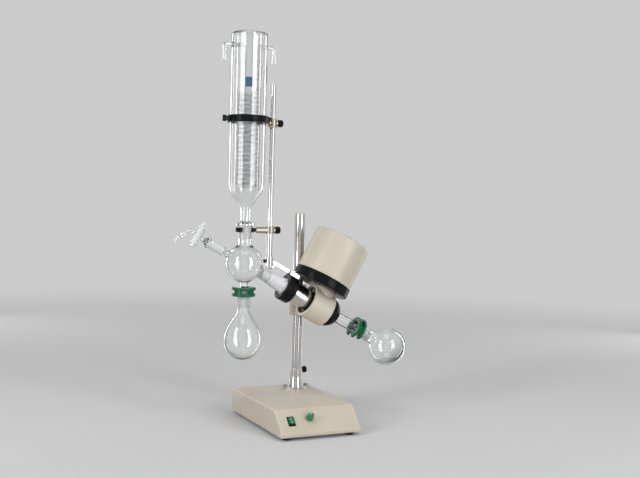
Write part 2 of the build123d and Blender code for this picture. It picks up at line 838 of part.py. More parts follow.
def make_housing():
    local = axis_plane()
    body = disc(housing_radius, housing_start, housing_end)
    body = fillet(body.edges().group_by(Axis.Z)[-1], housing_round)
    body = local * body
    tower = tower_plane(tower_s) * disc(tower_radius, 0, flange_low)
    boss = lying_back(column_x, head_y, pivot_z) * disc(boss_radius, 0, boss_end - head_y)
    body = body + tower + boss
    seat = large_bearing_radius + seat_gap
    hollow = disc(cavity_radius, min(housing_start, pivot_s - boss_radius) - 1, cavity_end)
    hollow = hollow + disc(shoulder_radius, cavity_end - 1, housing_end + 1)
    hollow = hollow + disc(seat, large_bearing_s - seat_gap, housing_end + 1)
    body = body - local * hollow
    pinion_hole = disc(pinion_cavity, pinion_low - pinion_end_gap, flange_low + 1)
    body = body - tower_plane(motor_s) * pinion_hole
    pin_hole = disc(pivot_pin_radius + seat_gap, pin_front, boss_end + 1)
    body = body - lying_back(column_x, 0, pivot_z) * pin_hole
    screw_hole = disc(motor_screw_radius + seat_gap, motor_screw_low - 1, flange_low + 1)
    for place in motor_screw_places(0):
        body = body - place * screw_hole
    parts["gear_housing"] = body
    plate = ring(cavity_radius - seat_gap, neck_radius + seat_gap, plate_start, plate_end)
    parts["end_plate"] = local * plate - tower_plane(motor_s) * pinion_hole


def motor_screw_places(height):
    """Places of the screws that hold the motor's flange to the tower."""
    return [tower_plane(tower_s) * Rot(0, 0, 90 * i + 45) * Pos(motor_screw_reach, 0, height)
            for i in range(4)]


def make_motor():
    place = tower_plane(motor_s)
    bore = motor_shaft_radius + 1.5
    lip = cover_radius - cover_wall - seat_gap
    lip_in = cover_radius - cover_wall - flange_wall
    flange = turned([(bore, flange_low), (flange_radius - 1, flange_low), (flange_radius, flange_low + 1),
                     (flange_radius, flange_high), (lip, flange_high), (lip, flange_high + flange_lip),
                     (lip_in, flange_high + flange_lip), (lip_in, flange_floor), (bore, flange_floor)])
    flange = place * flange
    for spot in motor_screw_places(0):
        flange = flange - spot * disc(motor_screw_radius + part_gap, flange_low - 1, flange_floor)
        flange = flange - spot * disc(motor_screw_head + part_gap, motor_head_h, flange_floor + 1)
    parts["motor_flange"] = flange
    bolt = screw(motor_screw_radius, motor_screw_head, motor_screw_head_height, motor_screw_length,
                 motor_screw_key)
    parts["motor_screws"] = group([spot * bolt for spot in motor_screw_places(motor_head_h)])
    outer = disc(cover_radius, flange_high, cover_top)
    outer = fillet(outer.edges().group_by(Axis.Z)[-1], cover_round)
    inner = disc(cover_radius - cover_wall, flange_high - 1, cover_top - cover_wall)
    inner = fillet(inner.edges().group_by(Axis.Z)[-1], cover_round - cover_wall)
    parts["motor_cover"] = place * (outer - inner)
    low = flange_floor
    high = flange_floor + motor_length
    low_seat = low + motor_end - motor_bearing_width
    high_seat = high - motor_end
    can = disc(motor_radius, low, high) - disc(motor_radius - motor_wall, low + motor_end, high_seat)
    can = can - disc(motor_shaft_radius + 2, low - 1, high - 3)
    can = can - disc(motor_bearing_radius + seat_gap, low_seat, high_seat + motor_bearing_width)
    parts["motor_body"] = place * can
    bearing = ring(motor_bearing_radius, motor_shaft_radius + seat_gap, 0, motor_bearing_width)
    parts["motor_bearings"] = place * group([Pos(0, 0, low_seat) * bearing, Pos(0, 0, high_seat) * bearing])
    parts["motor_shaft"] = place * disc(motor_shaft_radius, pinion_low - 0.6, high - 3.6)
    middle = (low + high) / 2
    armature = ring(armature_radius, motor_shaft_radius + seat_gap,
                    middle - armature_length / 2, middle + armature_length / 2)
    slot = Pos(armature_radius, 0, middle) * Box(2 * motor_slot_depth, motor_slot_width, armature_length + 2)
    for i in range(motor_slots):
        armature = armature - Rot(0, 0, 360 / motor_slots * i) * slot
    parts["motor_armature"] = place * armature


def make_gears():
    tooth = math.pi * module / 2 - tooth_backlash / 2
    root = pinion_pitch_radius - (1 + pinion_clearance) * module
    tip = pinion_pitch_radius + module - 0.1
    foot = tooth * tooth_foot_share
    top = tooth * tooth_top_share
    outline = Polyline((root - 0.6, -foot, 0), (pinion_pitch_radius, -tooth / 2, 0), (tip, -top, 0),
                       (tip, top, 0), (pinion_pitch_radius, tooth / 2, 0), (root - 0.6, foot, 0),
                       close=True)
    tooth_solid = extrude(make_face(outline), face_width, dir=(0, 0, 1))
    pinion = disc(root, 0, face_width)
    # A tooth gap faces the crown wheel, which lies on this frame's -Y side.
    for i in range(pinion_teeth):
        pinion = pinion + Rot(0, 0, -90 + 360 / pinion_teeth * (i + 0.5)) * tooth_solid
    pinion = pinion - disc(motor_shaft_radius + seat_gap, -1, face_width + 1)
    parts["drive_pinion"] = tower_plane(motor_s) * Pos(0, 0, pinion_low) * pinion
    body = ring(crown_radius, spindle_radius + seat_gap, crown_face_s, crown_end_s)
    height = crown_face_s - crown_tip_s
    pitch_at = (crown_face_s - (motor_s + pinion_pitch_radius)) / height
    slant = (tooth / 2 - top) / (1 - pitch_at)
    half_foot = tooth / 2 + slant * pitch_at
    section = Polyline((-half_foot, 0, 0.3), (-top, 0, -height), (top, 0, -height), (half_foot, 0, 0.3),
                       close=True)
    radial = extrude(make_face(section), face_width - 0.2, dir=(0, 1, 0))
    for i in range(crown_teeth):
        spot = Rot(0, 0, 360 / crown_teeth * i) * Pos(0, pinion_low + 0.1, crown_face_s)
        body = body + spot * radial
    parts["crown_wheel"] = axis_plane() * body


def make_spindle():
    local = axis_plane()
    tube = ring(spindle_radius, duct_radius + seat_gap, spindle_start, spindle_end)
    parts["drive_spindle"] = local * tube
    small = ring(small_bearing_radius, spindle_radius + seat_gap, small_bearing_s,
                 small_bearing_s + small_bearing_width)
    large = ring(large_bearing_radius, spindle_radius + seat_gap, large_bearing_s,
                 large_bearing_s + large_bearing_width)
    parts["spindle_bearings"] = group([local * small, local * large])
    seal_s = large_bearing_s + large_bearing_width + part_gap
    seal = ring(large_bearing_radius, spindle_radius + slide_gap, seal_s, seal_s + lip_seal_width)
    parts["spindle_seal"] = local * seal
    bore = spindle_radius + part_gap
    outer_end = housing_end + cap_length
    floor = housing_end + cap_hollow
    cap = turned([(cap_radius - cap_wall, housing_end), (cap_radius, housing_end),
                  (cap_radius, housing_end + cap_skirt), (cap_nose_radius, outer_end), (bore, outer_end),
                  (bore, floor), (cap_radius - cap_wall, floor)])
    parts["flask_side_cap"] = local * cap


def make_neck():
    local = axis_plane()
    tube = ring(neck_radius, neck_bore, neck_start, plate_end)
    seat = disc(small_bearing_radius + seat_gap, small_bearing_s - seat_gap, plate_end + 1)
    parts["neck_tube"] = local * (tube - seat)
    collar = disc(collar_radius, collar_start, collar_end)
    ends = collar.edges().group_by(Axis.Z)
    collar = chamfer([ends[0][0], ends[-1][0]], 1.0)
    collar = collar - disc(nut_thread_radius + slide_gap, collar_start - 1, neck_start + 0.01)
    collar = collar - disc(neck_radius + seat_gap, neck_start, collar_end + 1)
    collar = local * collar
    for spot in arm_screw_places(0):
        collar = collar - spot * disc(arm_screw_radius + seat_gap, neck_radius + 1, 40)
    parts["neck_collar"] = collar
    seal = ring(nut_thread_radius, duct_radius + slide_gap, side_flange_end, neck_start)
    parts["shaft_seal"] = local * seal
    nut = turned([(duct_radius + part_gap, nut_start), (nut_small_radius, nut_start),
                  (nut_large_radius, collar_start - 8), (nut_large_radius, collar_start - 0.6),
                  (nut_thread_radius - 1, collar_start + 0.6), (nut_thread_radius, collar_start + 1.6),
                  (nut_thread_radius, nut_thread_end), (duct_radius + part_gap, nut_thread_end)])
    for i in range(nut_tabs):
        tab = block(0, nut_tab_reach, -nut_tab_width / 2, nut_tab_width / 2,
                    collar_start - 1 - nut_tab_length, collar_start - 1)
        tab = tab - disc(duct_radius + 2, 0, collar_start)
        nut = nut + Rot(0, 0, 360 / nut_tabs * (i + 0.5)) * tab
    parts["coupling_nut"] = local * nut


# Support arm, rod and clamps


def arm_screw_places(height):
    """Places of the two screws that hold the arm's foot on the collar."""
    return [tower_plane(arm_screw_s) * Pos(side * arm_screw_spread / 2, 0, height) for side in (-1, 1)]


def bar_on_head(corners, width):
    """Plate in the head's middle plane from its (s, h) corners."""
    points = [on_head(s, h) - Vector(0, width / 2, 0) for s, h in corners]
    return extrude(make_face(Polyline(*points, close=True)), width, dir=(0, 1, 0))


def make_arm():
    foot_low = collar_radius - 4
    web = [(arm_tip_s, arm_low_h + 2), (arm_tip_s + 2, arm_tip_h), (arm_rise_s, arm_top_h),
           (collar_start, arm_top_h), (collar_start, foot_low), (collar_start - 1, foot_low),
           (collar_start - arm_under, arm_low_h + 3), (collar_start - 2 * arm_under, arm_low_h)]
    foot = [(collar_start - 1, foot_low), (collar_start - 1, arm_top_h), (arm_foot_end, arm_top_h),
            (arm_foot_end, foot_low)]
    arm = bar_on_head(web, arm_thickness) + bar_on_head(foot, arm_foot_width)
    arm = arm - axis_plane() * disc(collar_radius + seat_gap, nut_start, collar_end + 10)
    at_rod = upright(rod_x, head_y)
    eye = at_rod * disc(arm_eye_radius, arm_eye_low, arm_eye_high)
    trim = at_rod * block(-40, 0, -20, 20, arm_eye_low - 30, arm_eye_high + 30)
    arm = arm - (trim - eye) + eye
    arm = arm - at_rod * disc(rod_radius + seat_gap, rod_low - arm_eye_radius, arm_eye_high + arm_eye_radius)
    at_thumb = Pos(rod_x, head_y, thumb_z) * Rot(0, -90, 0)
    arm = arm - at_thumb * disc(thumb_stud_radius + slide_gap, 2, 2 * arm_eye_radius)
    for spot in arm_screw_places(0):
        arm = arm - spot * disc(arm_screw_radius + seat_gap, arm_low_h, arm_top_h + 1)
    parts["support_arm"] = arm
    shank = arm_top_h - neck_radius - 1.6
    bolt = screw(arm_screw_radius, arm_screw_head, arm_screw_head_height, shank, arm_screw_key)
    parts["arm_screws"] = group([spot * bolt for spot in arm_screw_places(arm_top_h)])
    knob_start = arm_eye_radius + part_gap
    stud = knob_start - rod_radius - stud_gap
    thumb = grip_knob(thumb_radius, thumb_length, thumb_stud_radius, stud, thumb_flutes, thumb_flute_radius)
    parts["arm_thumbscrew"] = at_thumb * Pos(0, 0, knob_start) * thumb
    rod = disc(rod_radius, rod_low, rod_top)
    rod = chamfer(rod.edges().group_by(Axis.Z)[-1], 0.8)
    parts["support_rod"] = at_rod * rod


def clamp_body(z, left_reach, boss_height):
    """Bright cross barrel on the rod, with the bore for its stud."""
    along = lying_right(rod_x, head_y, z)
    at_rod = upright(rod_x, head_y, z)
    body = along * disc(clamp_barrel_radius, -left_reach, clamp_boss_radius)
    body = body + at_rod * disc(clamp_boss_radius - part_gap, -boss_height / 2, boss_height / 2)
    body = body - at_rod * disc(rod_radius + slide_gap, -boss_height, boss_height)
    return body - along * disc(clamp_stud_radius + slide_gap, 2, 2 * clamp_boss_radius)


def clamp_knob(z):
    """Black knob at the right end of a clamp."""
    start = clamp_boss_radius + part_gap
    knob = grip_knob(clamp_knob_radius, clamp_knob_length, clamp_stud_radius, start - rod_radius - stud_gap,
                     clamp_knob_flutes, clamp_flute_radius)
    return lying_right(rod_x + start, head_y, z) * knob


def make_lower_clamp():
    inner = socket_joint_radius + part_gap / 2
    outer = inner + lower_jaw_wall
    reach = rod_x - (ball_x + outer + clamp_neck)
    parts["lower_clamp"] = clamp_body(lower_clamp_z, reach, lower_boss_height)
    low = lower_clamp_z - lower_jaw_height / 2
    high = lower_clamp_z + lower_jaw_height / 2
    # The mouth of the jaws is a wedge that opens to the front.
    corners = [(0, 0), (-1.5 * outer, -1.6 * outer), (outer, -2 * outer), (outer, -1.3 * outer)]
    mouth = extrude(make_face(Polyline(*[(x, y, low - 1) for x, y in corners], close=True)),
                    high - low + 2, dir=(0, 0, 1))
    shank = block(inner + 1, outer + clamp_neck + 1, -lower_shank / 2, lower_shank / 2, low + 1, high - 1)
    jaws = ring(outer, inner, low, high) - mouth + (shank - disc(inner, low - 1, high + 1))
    barrel = lying_right(rod_x, head_y, lower_clamp_z) * disc(clamp_barrel_radius, -reach, 0)
    parts["lower_clamp_jaws"] = upright(ball_x, head_y) * jaws - barrel
    parts["lower_clamp_knob"] = clamp_knob(lower_clamp_z)


def make_upper_clamp():
    inner = jacket_radius + part_gap
    outer = inner + upper_ring_wall
    reach = rod_x - (ball_x + outer + clamp_neck)
    parts["upper_clamp"] = clamp_body(upper_clamp_z, reach, upper_boss_height)
    low = upper_ring_z - upper_ring_height / 2
    high = upper_ring_z + upper_ring_height / 2
    half = upper_lug_width / 2
    right_lug = block(inner, outer + clamp_neck + 1, -half - 2, half + 2, low, high)
    left_lug = block(-upper_lug_reach, -inner, -half, half, low + 3, high - 3)
    hinge = Pos(2 - upper_lug_reach, 0, 0) * disc(upper_hinge_radius, low + 1, high - 1)
    band = together([disc(outer, low, high), right_lug, left_lug, hinge]) - disc(inner, low - 1, high + 1)
    far = -upper_lug_reach - 2 * upper_hinge_radius
    split = block(far, 1 - inner, -upper_split / 2, upper_split / 2, low - 1, high + 1)
    barrel = lying_right(rod_x, head_y, upper_clamp_z) * disc(clamp_barrel_radius, -reach, 0)
    parts["upper_clamp_ring"] = upright(ball_x, head_y) * (band - split) - barrel
    parts["upper_clamp_knob"] = clamp_knob(upper_clamp_z)


# Glassware


def barb(start, way, length):
    """Ribbed hose end that starts at a point and runs along way."""
    ribs = disc(hose_radius, 0, length)
    for i in range(barb_count):
        low = length - barb_pitch * (i + 1)
        high = low + barb_pitch
        ribs = ribs + turned([(0, low), (barb_radius, low), (hose_radius - part_gap, high), (0, high)])
    return Plane(origin=start, z_dir=way) * ribs


def bent_tube(points, radius, bend):
    """Round bar along straight runs joined by tangent arcs."""
    path = FilletPolyline(*points, radius=bend)
    start = Plane(origin=path @ 0, z_dir=path % 0)
    return sweep(start * Circle(radius), path=path)


def make_manifold():
    local = axis_plane()
    up = upright(ball_x, head_y)
    top_low = ball_z + ball_radius * 0.7
    cone_end = bottom_joint_z - bottom_cone_length
    outer = Pos(*ball_point) * Sphere(ball_radius)
    outer = outer + up * disc(socket_joint_radius, top_low, top_joint_z)
    outer = outer + up * disc(top_rim_radius, top_joint_z - rim_length, top_joint_z)
    outer = outer + up * disc(bottom_neck_radius, bottom_joint_z, ball_z - ball_radius * 0.8)
    outer = outer + up * disc(flask_rim_radius, bottom_joint_z, bottom_joint_z + rim_length)
    cone_top = bottom_joint_z + 0.01
    outer = outer + up * turned([(0, cone_top), (cone_joint_radius - part_gap, cone_top),
                                 (cone_joint_radius - joint_taper, cone_end), (0, cone_end)])
    outer = outer + local * disc(duct_radius, ball_radius * 0.7, side_flange_end)
    outer = outer + local * disc(side_flange_radius, side_flange_s, side_flange_end)
    outer = outer + local * disc(feed_neck_radius, feed_socket_start - 1, -ball_radius * 0.8)
    outer = outer + local * disc(feed_socket_radius, feed_socket_end, feed_socket_start)
    outer = outer + local * disc(feed_socket_radius + 1.4, feed_socket_end, feed_socket_end + rim_length)
    inner = Pos(*ball_point) * Sphere(ball_radius - glass_wall)
    inner = inner + up * disc(cone_joint_radius + joint_gap, ball_z + ball_radius * 0.5, top_joint_z + 1)
    inner = inner + up * disc(bottom_neck_radius - glass_wall, cone_end - 1, ball_z)
    inner = inner + local * disc(duct_radius - glass_wall, 0, side_flange_end + 1)
    inner = inner + local * disc(feed_neck_radius - glass_wall, feed_socket_end, 0)
    inner = inner + local * disc(feed_cone_radius + joint_gap, feed_socket_end - 1,
                                 feed_socket_start - glass_wall)
    parts["glass_distributor"] = outer - inner


def make_feed():
    local = axis_plane()
    tower = tower_plane(stopcock_s)
    cone_end = feed_socket_end + feed_cone_length
    cone = turned([(0, cone_end), (feed_cone_radius - 1, cone_end), (feed_cone_radius, feed_socket_end - 2),
                   (feed_stem_radius, feed_socket_end - 7), (feed_stem_radius, stopcock_s), (0, stopcock_s)])
    start = on_head(stopcock_s, feed_outlet_h)
    bend = start + Vector(feed_outlet_run[0], 0, feed_outlet_run[1])
    end = bend + Vector(feed_hose_run[0], 0, feed_hose_run[1])
    way = (end - bend).normalized()
    route = [start, bend, end]
    bore_route = [start, bend, end + way * feed_tip_length]
    hose = barb(end - way * hose_radius, way, feed_tip_length)
    body = local * cone + tower * disc(stopcock_radius, stopcock_low, stopcock_high)
    body = body + bent_tube(route, hose_radius - part_gap, feed_bend) + hose
    body = body - local * disc(feed_stem_bore, stopcock_s, feed_socket_end)
    wide = feed_cone_radius - 1 - glass_wall * 0.8
    body = body - local * turned([(0, feed_socket_end - 3), (feed_stem_bore, feed_socket_end - 3),
                                  (wide, feed_socket_end + 5), (wide, cone_end + 1), (0, cone_end + 1)])
    body = body - bent_tube(bore_route, feed_bore, feed_bend)
    key_bore = disc(key_radius + slide_gap, stopcock_low - 1, stopcock_high + 1)
    parts["feed_adapter"] = body - tower * key_bore
    low = stopcock_low - part_gap
    high = stopcock_high + part_gap
    waist = key_knob_radius - 2
    key = turned([(0, low - key_foot_length), (key_radius + 1, low - key_foot_length), (key_radius + 1, low),
                  (key_radius, low), (key_radius, high), (waist, high), (waist, high + 5), (0, high + 5)])
    grip_low = stopcock_high + 4
    grip = Pos(0, 0, (grip_low + key_knob_top) / 2) * Box(2 * key_knob_radius, key_grip_thickness,
                                                          key_knob_top - grip_low)
    grip = fillet(grip.edges().filter_by(Axis.Y), key_knob_radius * 0.45)
    hole = Rot(90, 0, 0) * Cylinder(key_hole_radius, 2 * stopcock_high)
    parts["stopcock_key"] = tower * (key + grip - hole)


def barb_route(side, first, end_z):
    """Level run and down-turned end of a water connector, on the condenser's own axis."""
    reach = side * (jacket_radius + barb_reach)
    return [Vector(side * first, 0, water_z), Vector(reach, 0, water_z), Vector(reach, 0, end_z)]


def make_jacket():
    wall = glass_wall
    cone_low = top_joint_z - top_cone_length
    flange_high_z = top_joint_z + jacket_flange_height
    cone_tip = cone_joint_radius - joint_taper
    outer = turned([(0, cone_low), (cone_tip, cone_low), (cone_joint_radius, top_joint_z),
                    (jacket_flange_radius, top_joint_z), (jacket_flange_radius, flange_high_z),
                    (jacket_neck_radius, flange_high_z), (jacket_neck_radius, jacket_cone_z),
                    (jacket_radius, jacket_shoulder_z), (jacket_radius, jacket_top), (0, jacket_top)])
    outer = fillet(outer.edges().group_by(Axis.Z)[-1], jacket_round)
    neck_bore = jacket_neck_radius - wall
    hollow = turned([(0, cone_low - 1), (cone_tip - wall, cone_low - 1),
                     (neck_bore, top_joint_z), (neck_bore, jacket_cone_z),
                     (jacket_radius - wall, jacket_shoulder_z), (jacket_radius - wall, jacket_top - wall),
                     (0, jacket_top - wall)])
    hollow = fillet(hollow.edges().group_by(Axis.Z)[-1], jacket_round - wall)
    body = outer - hollow
    body = body + ring(inner_tube_radius, inner_tube_radius - inner_tube_wall, inner_tube_low,
                       jacket_top - 1)
    for side, end_z in ((-1, left_barb_end_z), (1, right_barb_end_z)):
        joint_z = end_z + barb_length
        body = body + bent_tube(barb_route(side, jacket_radius - 1, joint_z), hose_radius, water_bend)
        outlet = Vector(side * (jacket_radius + barb_reach), 0, joint_z + 0.5)
        body = body + barb(outlet, Vector(0, 0, -1), barb_length + 0.5)
        body = body - bent_tube(barb_route(side, inner_tube_radius - 4, end_z - 1), hose_bore, water_bend)
        coil_hole = Cylinder(coil_tube_radius + stud_gap, 8)
        body = body - lying_right(side * inner_tube_radius, 0, water_z) * coil_hole
    return body


def make_coil():
    """The coil's turns as level rings, with the two risers that feed them."""
    pitch = (coil_high - coil_low) / (coil_turns - 1)
    coil = together([Pos(0, 0, coil_low + pitch * i) * Torus(coil_radius, coil_tube_radius)
                     for i in range(coil_turns)])
    riser_radius = coil_tube_radius - stud_gap
    reach = jacket_radius - glass_wall - joint_gap - coil_radius
    for side, low in ((-1, coil_low), (1, coil_high)):
        coil = coil + Pos(side * coil_radius, 0, 0) * disc(riser_radius, low, water_z)
        coil = coil + Pos(side * coil_radius, 0, water_z) * Sphere(riser_radius)
        outwards = Pos(side * coil_radius, 0, water_z) * Rot(0, side * 90, 0)
        coil = coil + outwards * disc(riser_radius, 0, reach)
    return coil


def make_condenser():
    parts["condenser_jacket"] = upright(ball_x, head_y) * make_jacket()
    parts["cooling_coil"] = upright(ball_x, head_y) * make_coil()


def pear(inset):
    """The pear bulb about Z, moved inwards by inset."""
    stem = pear_stem_radius - inset
    wide = pear_radius - inset
    top_z = pear_neck_end_z - stem_drop
    bottom_z = pear_bottom_z + inset
    out, down = pear_flank_start
    turn_in, rise = pear_flank_end
    flank = Bezier((stem, 0, top_z), (stem + out, 0, top_z - down),
                   (wide - turn_in, 0, pear_middle_z + rise), (wide, 0, pear_middle_z))
    belly = Bezier((wide, 0, pear_middle_z), (wide, 0, pear_middle_z - pear_belly_drop),
                   (pear_belly_flat, 0, bottom_z), (0, 0, bottom_z))
    middle = Line((0, 0, bottom_z), (0, 0, top_z))
    cap = Line((0, 0, top_z), (stem, 0, top_z))
    return revolve(make_face([flank, belly, middle, cap]), Axis.Z)


def make_receiver():
    rim_top = bottom_joint_z - flask_seat
    rim_low = rim_top - flask_rim_length
    stem_z = pear_neck_end_z - stem_drop
    neck = flask_neck_radius
    bore = cone_joint_radius - joint_taper + joint_gap
    outer = pear(0) + turned([(0, stem_z - 2), (pear_stem_radius, stem_z - 2), (pear_stem_radius, stem_z),
                              (neck, pear_neck_end_z), (neck, rim_low), (flask_rim_radius, rim_low),
                              (flask_rim_radius, rim_top), (0, rim_top)])
    stem_bore = pear_stem_radius - glass_wall
    hollow = turned([(0, stem_z - 4), (stem_bore, stem_z - 4), (stem_bore, stem_z), (bore, pear_neck_end_z),
                     (cone_joint_radius, rim_top + 1), (0, rim_top + 1)])
    parts["receiving_flask"] = upright(ball_x, head_y) * (outer - hollow - pear(glass_wall))


def clip_shape():
    """Snap clip about Z: a lower band, an upper band, and ribs between them."""
    total = 2 * clip_band + clip_gap
    inner = flask_rim_radius + clip_ease
    band_bore = flask_neck_radius + clip_ease
    shape = ring(clip_radius, band_bore, 0, clip_band)
    shape = shape + ring(clip_radius, band_bore, total - clip_band, total)
    rib = block(inner, inner + clip_wall + 2, -clip_rib / 2, clip_rib / 2,
                clip_band - 1, total - clip_band + 1)
    for turn in (-90, 0, 90):
        shape = shape + Rot(0, 0, turn) * rib
    mouth = block(-clip_radius - 1, 0, -clip_mouth / 2, clip_mouth / 2, -1, total + 1)
    return shape - disc(inner, clip_band, total - clip_band) - mouth


def make_rotor_glass():
    local = axis_plane()
    duct_start = side_flange_end + duct_seat
    collar_s = duct_cone_s - rim_length
    cone_end = duct_cone_s + duct_cone_length
    cone_tip = cone_joint_radius - joint_taper
    outer = turned([(0, duct_start), (duct_radius, duct_start), (duct_radius, collar_s),
                    (flask_rim_radius, collar_s), (flask_rim_radius, duct_cone_s),
                    (cone_joint_radius - joint_gap, duct_cone_s),
                    (cone_tip, cone_end), (0, cone_end)])
    parts["vapour_duct"] = local * (outer - disc(duct_radius - duct_wall, duct_start - 1, cone_end + 1))
    rim_s = duct_cone_s + flask_seat
    bore = cone_tip + joint_gap
    body = Pos(0, 0, flask_s) * Sphere(flask_radius)
    body = body + disc(flask_neck_radius, rim_s, flask_s - flask_radius * 0.8)
    body = body + disc(flask_rim_radius, rim_s, rim_s + flask_rim_length)
    hollow = turned([(0, rim_s - 1), (cone_joint_radius, rim_s - 1), (bore, cone_end + rim_length),
                     (bore, flask_s), (0, flask_s)])
    hollow = hollow + Pos(0, 0, flask_s) * Sphere(flask_radius - glass_wall)
    parts["evaporating_flask"] = local * (body - hollow)
    half = (2 * clip_band + clip_gap) / 2
    joint_middle = (collar_s + rim_s + flask_rim_length) / 2
    parts["flask_clip"] = local * Pos(0, 0, joint_middle - half) * Rot(0, 0, 90) * clip_shape()
    middle_z = bottom_joint_z + (rim_length - flask_seat - flask_rim_length) / 2
    parts["receiver_clip"] = Pos(ball_x, head_y, middle_z - half) * Rot(0, 0, -60) * clip_shape()


def main():
    make_base()
    make_socket()
    make_controls()
    make_electrics()
    make_sleeve()
    make_housing()
    make_motor()
    make_gears()
    make_spindle()
    make_neck()
    make_arm()
    make_lower_clamp()
    make_upper_clamp()
    make_manifold()
    make_feed()
    make_condenser()
    make_receiver()
    make_rotor_glass()
    os.makedirs("parts", exist_ok=True)
    for name, shape in parts.items():
        export_step(shape, f"parts/{name}.step")
    print(len(parts), "nodes")


main()
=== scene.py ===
"""Looks of a small bench rotary evaporator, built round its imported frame. Lengths are in metres."""
import json
import math

import bmesh
import bpy
from bpy.props import FloatProperty, FloatVectorProperty, IntProperty, PointerProperty
from mathutils import Matrix, Vector


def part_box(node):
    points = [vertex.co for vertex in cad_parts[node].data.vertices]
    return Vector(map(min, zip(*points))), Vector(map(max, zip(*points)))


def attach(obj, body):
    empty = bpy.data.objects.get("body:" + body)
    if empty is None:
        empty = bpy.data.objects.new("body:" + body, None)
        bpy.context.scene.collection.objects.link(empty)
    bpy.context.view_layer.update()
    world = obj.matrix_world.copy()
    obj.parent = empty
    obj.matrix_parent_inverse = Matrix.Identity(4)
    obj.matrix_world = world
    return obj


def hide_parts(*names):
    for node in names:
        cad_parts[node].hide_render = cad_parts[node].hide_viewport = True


bl_info = {
    "name": "Rotary evaporator",
    "version": (1, 0, 0),
    "blender": (4, 5, 0),
    "location": "3D View > Sidebar > Evaporator",
    "description": "Dresses the frame of a bench rotary evaporator",
    "category": "Add Mesh",
}

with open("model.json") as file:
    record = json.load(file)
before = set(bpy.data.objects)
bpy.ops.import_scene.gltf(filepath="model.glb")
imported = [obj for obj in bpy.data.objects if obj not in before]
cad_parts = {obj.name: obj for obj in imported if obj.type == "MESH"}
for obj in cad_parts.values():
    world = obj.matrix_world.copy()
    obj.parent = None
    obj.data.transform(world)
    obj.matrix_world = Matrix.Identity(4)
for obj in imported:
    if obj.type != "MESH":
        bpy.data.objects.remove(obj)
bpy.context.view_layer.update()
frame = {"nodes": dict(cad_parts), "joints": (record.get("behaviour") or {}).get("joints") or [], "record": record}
nodes = frame["nodes"]
joints = {joint["name"]: joint for joint in frame["joints"]}
body_of = {node: body for body, names in frame["record"]["behaviour"]["bodies"].items() for node in names}
slot_of = {part["node"]: part["material_slot"] for part in frame["record"]["subparts"]}

# Places taken from the frame
drive_way = Vector(joints["flask_spin"]["axis"]).normalized()
square_way = Vector(joints["motor_spin"]["axis"]).normalized()
if square_way.z < 0:
    square_way.negate()
up = Vector((0, 0, 1))
back = Vector((0, 1, 0))
coil_low, coil_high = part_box("cooling_coil")
glass_middle = (coil_low + coil_high) / 2
drive_point = Vector(joints["flask_spin"]["pos_m"])
ball_point = drive_point + drive_way * ((glass_middle.x - drive_point.x) / drive_way.x)
motor_point = Vector(joints["motor_spin"]["pos_m"])

smallest = 1e-6          # anything nearer to an axis than this is on it
round_steps = 4          # points in a rounded corner
round_count = 96         # points round a turned piece
knob_count = 144         # points round a piece with fine ridges


def axis_frame(origin, way, across):
    """Matrix at origin whose Z runs along way and whose X lies nearest to across."""
    y = way.cross(across).normalized()
    x = y.cross(way).normalized()
    matrix = Matrix((x, y, way)).transposed().to_4x4()
    matrix.translation = origin
    return matrix


at_drive = axis_frame(ball_point, drive_way, back)
at_motor = axis_frame(ball_point + drive_way * (motor_point - ball_point).dot(drive_way), square_way, back)
at_glass = Matrix.Translation((glass_middle.x, glass_middle.y, 0))


def reach(node, place):
    """Lowest and highest height of a node above a place, and its largest distance from that place's axis."""
    inverse = place.inverted()
    points = [inverse @ vertex.co for vertex in nodes[node].data.vertices]
    return (min(p.z for p in points), max(p.z for p in points), max(math.hypot(p.x, p.y) for p in points))


# Mesh helpers


def curve_between(start, corner, end, steps=round_steps):
    """Points of a smooth bend from start to end that leaves both towards corner."""
    points = []
    for k in range(steps + 1):
        t = k / steps
        points.append(start * (1 - t) ** 2 + corner * (2 * t * (1 - t)) + end * t ** 2)
    return points


def soften(corners, steps=round_steps, closed=True):
    """Line through corners given as (coordinates, length of the rounding)."""
    count = len(corners)
    points = []
    for i, corner in enumerate(corners):
        here = Vector(corner[:-1])
        bend = corner[-1]
        if bend == 0 or (not closed and i in (0, count - 1)):
            points.append(here)
            continue
        before = Vector(corners[i - 1][:-1]) - here
        after = Vector(corners[(i + 1) % count][:-1]) - here
        cut = min(bend, before.length * 0.49, after.length * 0.49)
        points.extend(curve_between(here + before.normalized() * cut, here,
                                    here + after.normalized() * cut, steps))
    return points


def arc(radius, middle, first, last, steps):
    """Points of an arc in the (radius, height) plane; angles in degrees from the level."""
    angles = [math.radians(first + (last - first) * k / steps) for k in range(steps + 1)]
    return [Vector((max(radius * math.cos(a), 0.0), middle + radius * math.sin(a))) for a in angles]


def join_rings(bm, one, two, finish=0):
    """Faces between two rings of points, either of which may be a single point."""
    count = max(len(one), len(two))
    if count == 1:
        return
    for i in range(count):
        j = (i + 1) % count
        if len(one) == 1:
            corners = (one[0], two[j], two[i])
        elif len(two) == 1:
            corners = (one[i], one[j], two[0])
        else:
            corners = (one[i], one[j], two[j], two[i])
        bm.faces.new(corners).material_index = finish


def ring_points(bm, place, radius, height, count, ripple=None):
    """One ring of points about a place's axis, or a single point on it."""
    if radius < smallest:
        return [bm.verts.new(place @ Vector((0, 0, height)))]
    ring = []
    for i in range(count):
        angle = 2 * math.pi * i / count
        r = radius if ripple is None else ripple(radius, height, angle)
        ring.append(bm.verts.new(place @ Vector((r * math.cos(angle), r * math.sin(angle), height))))
    return ring


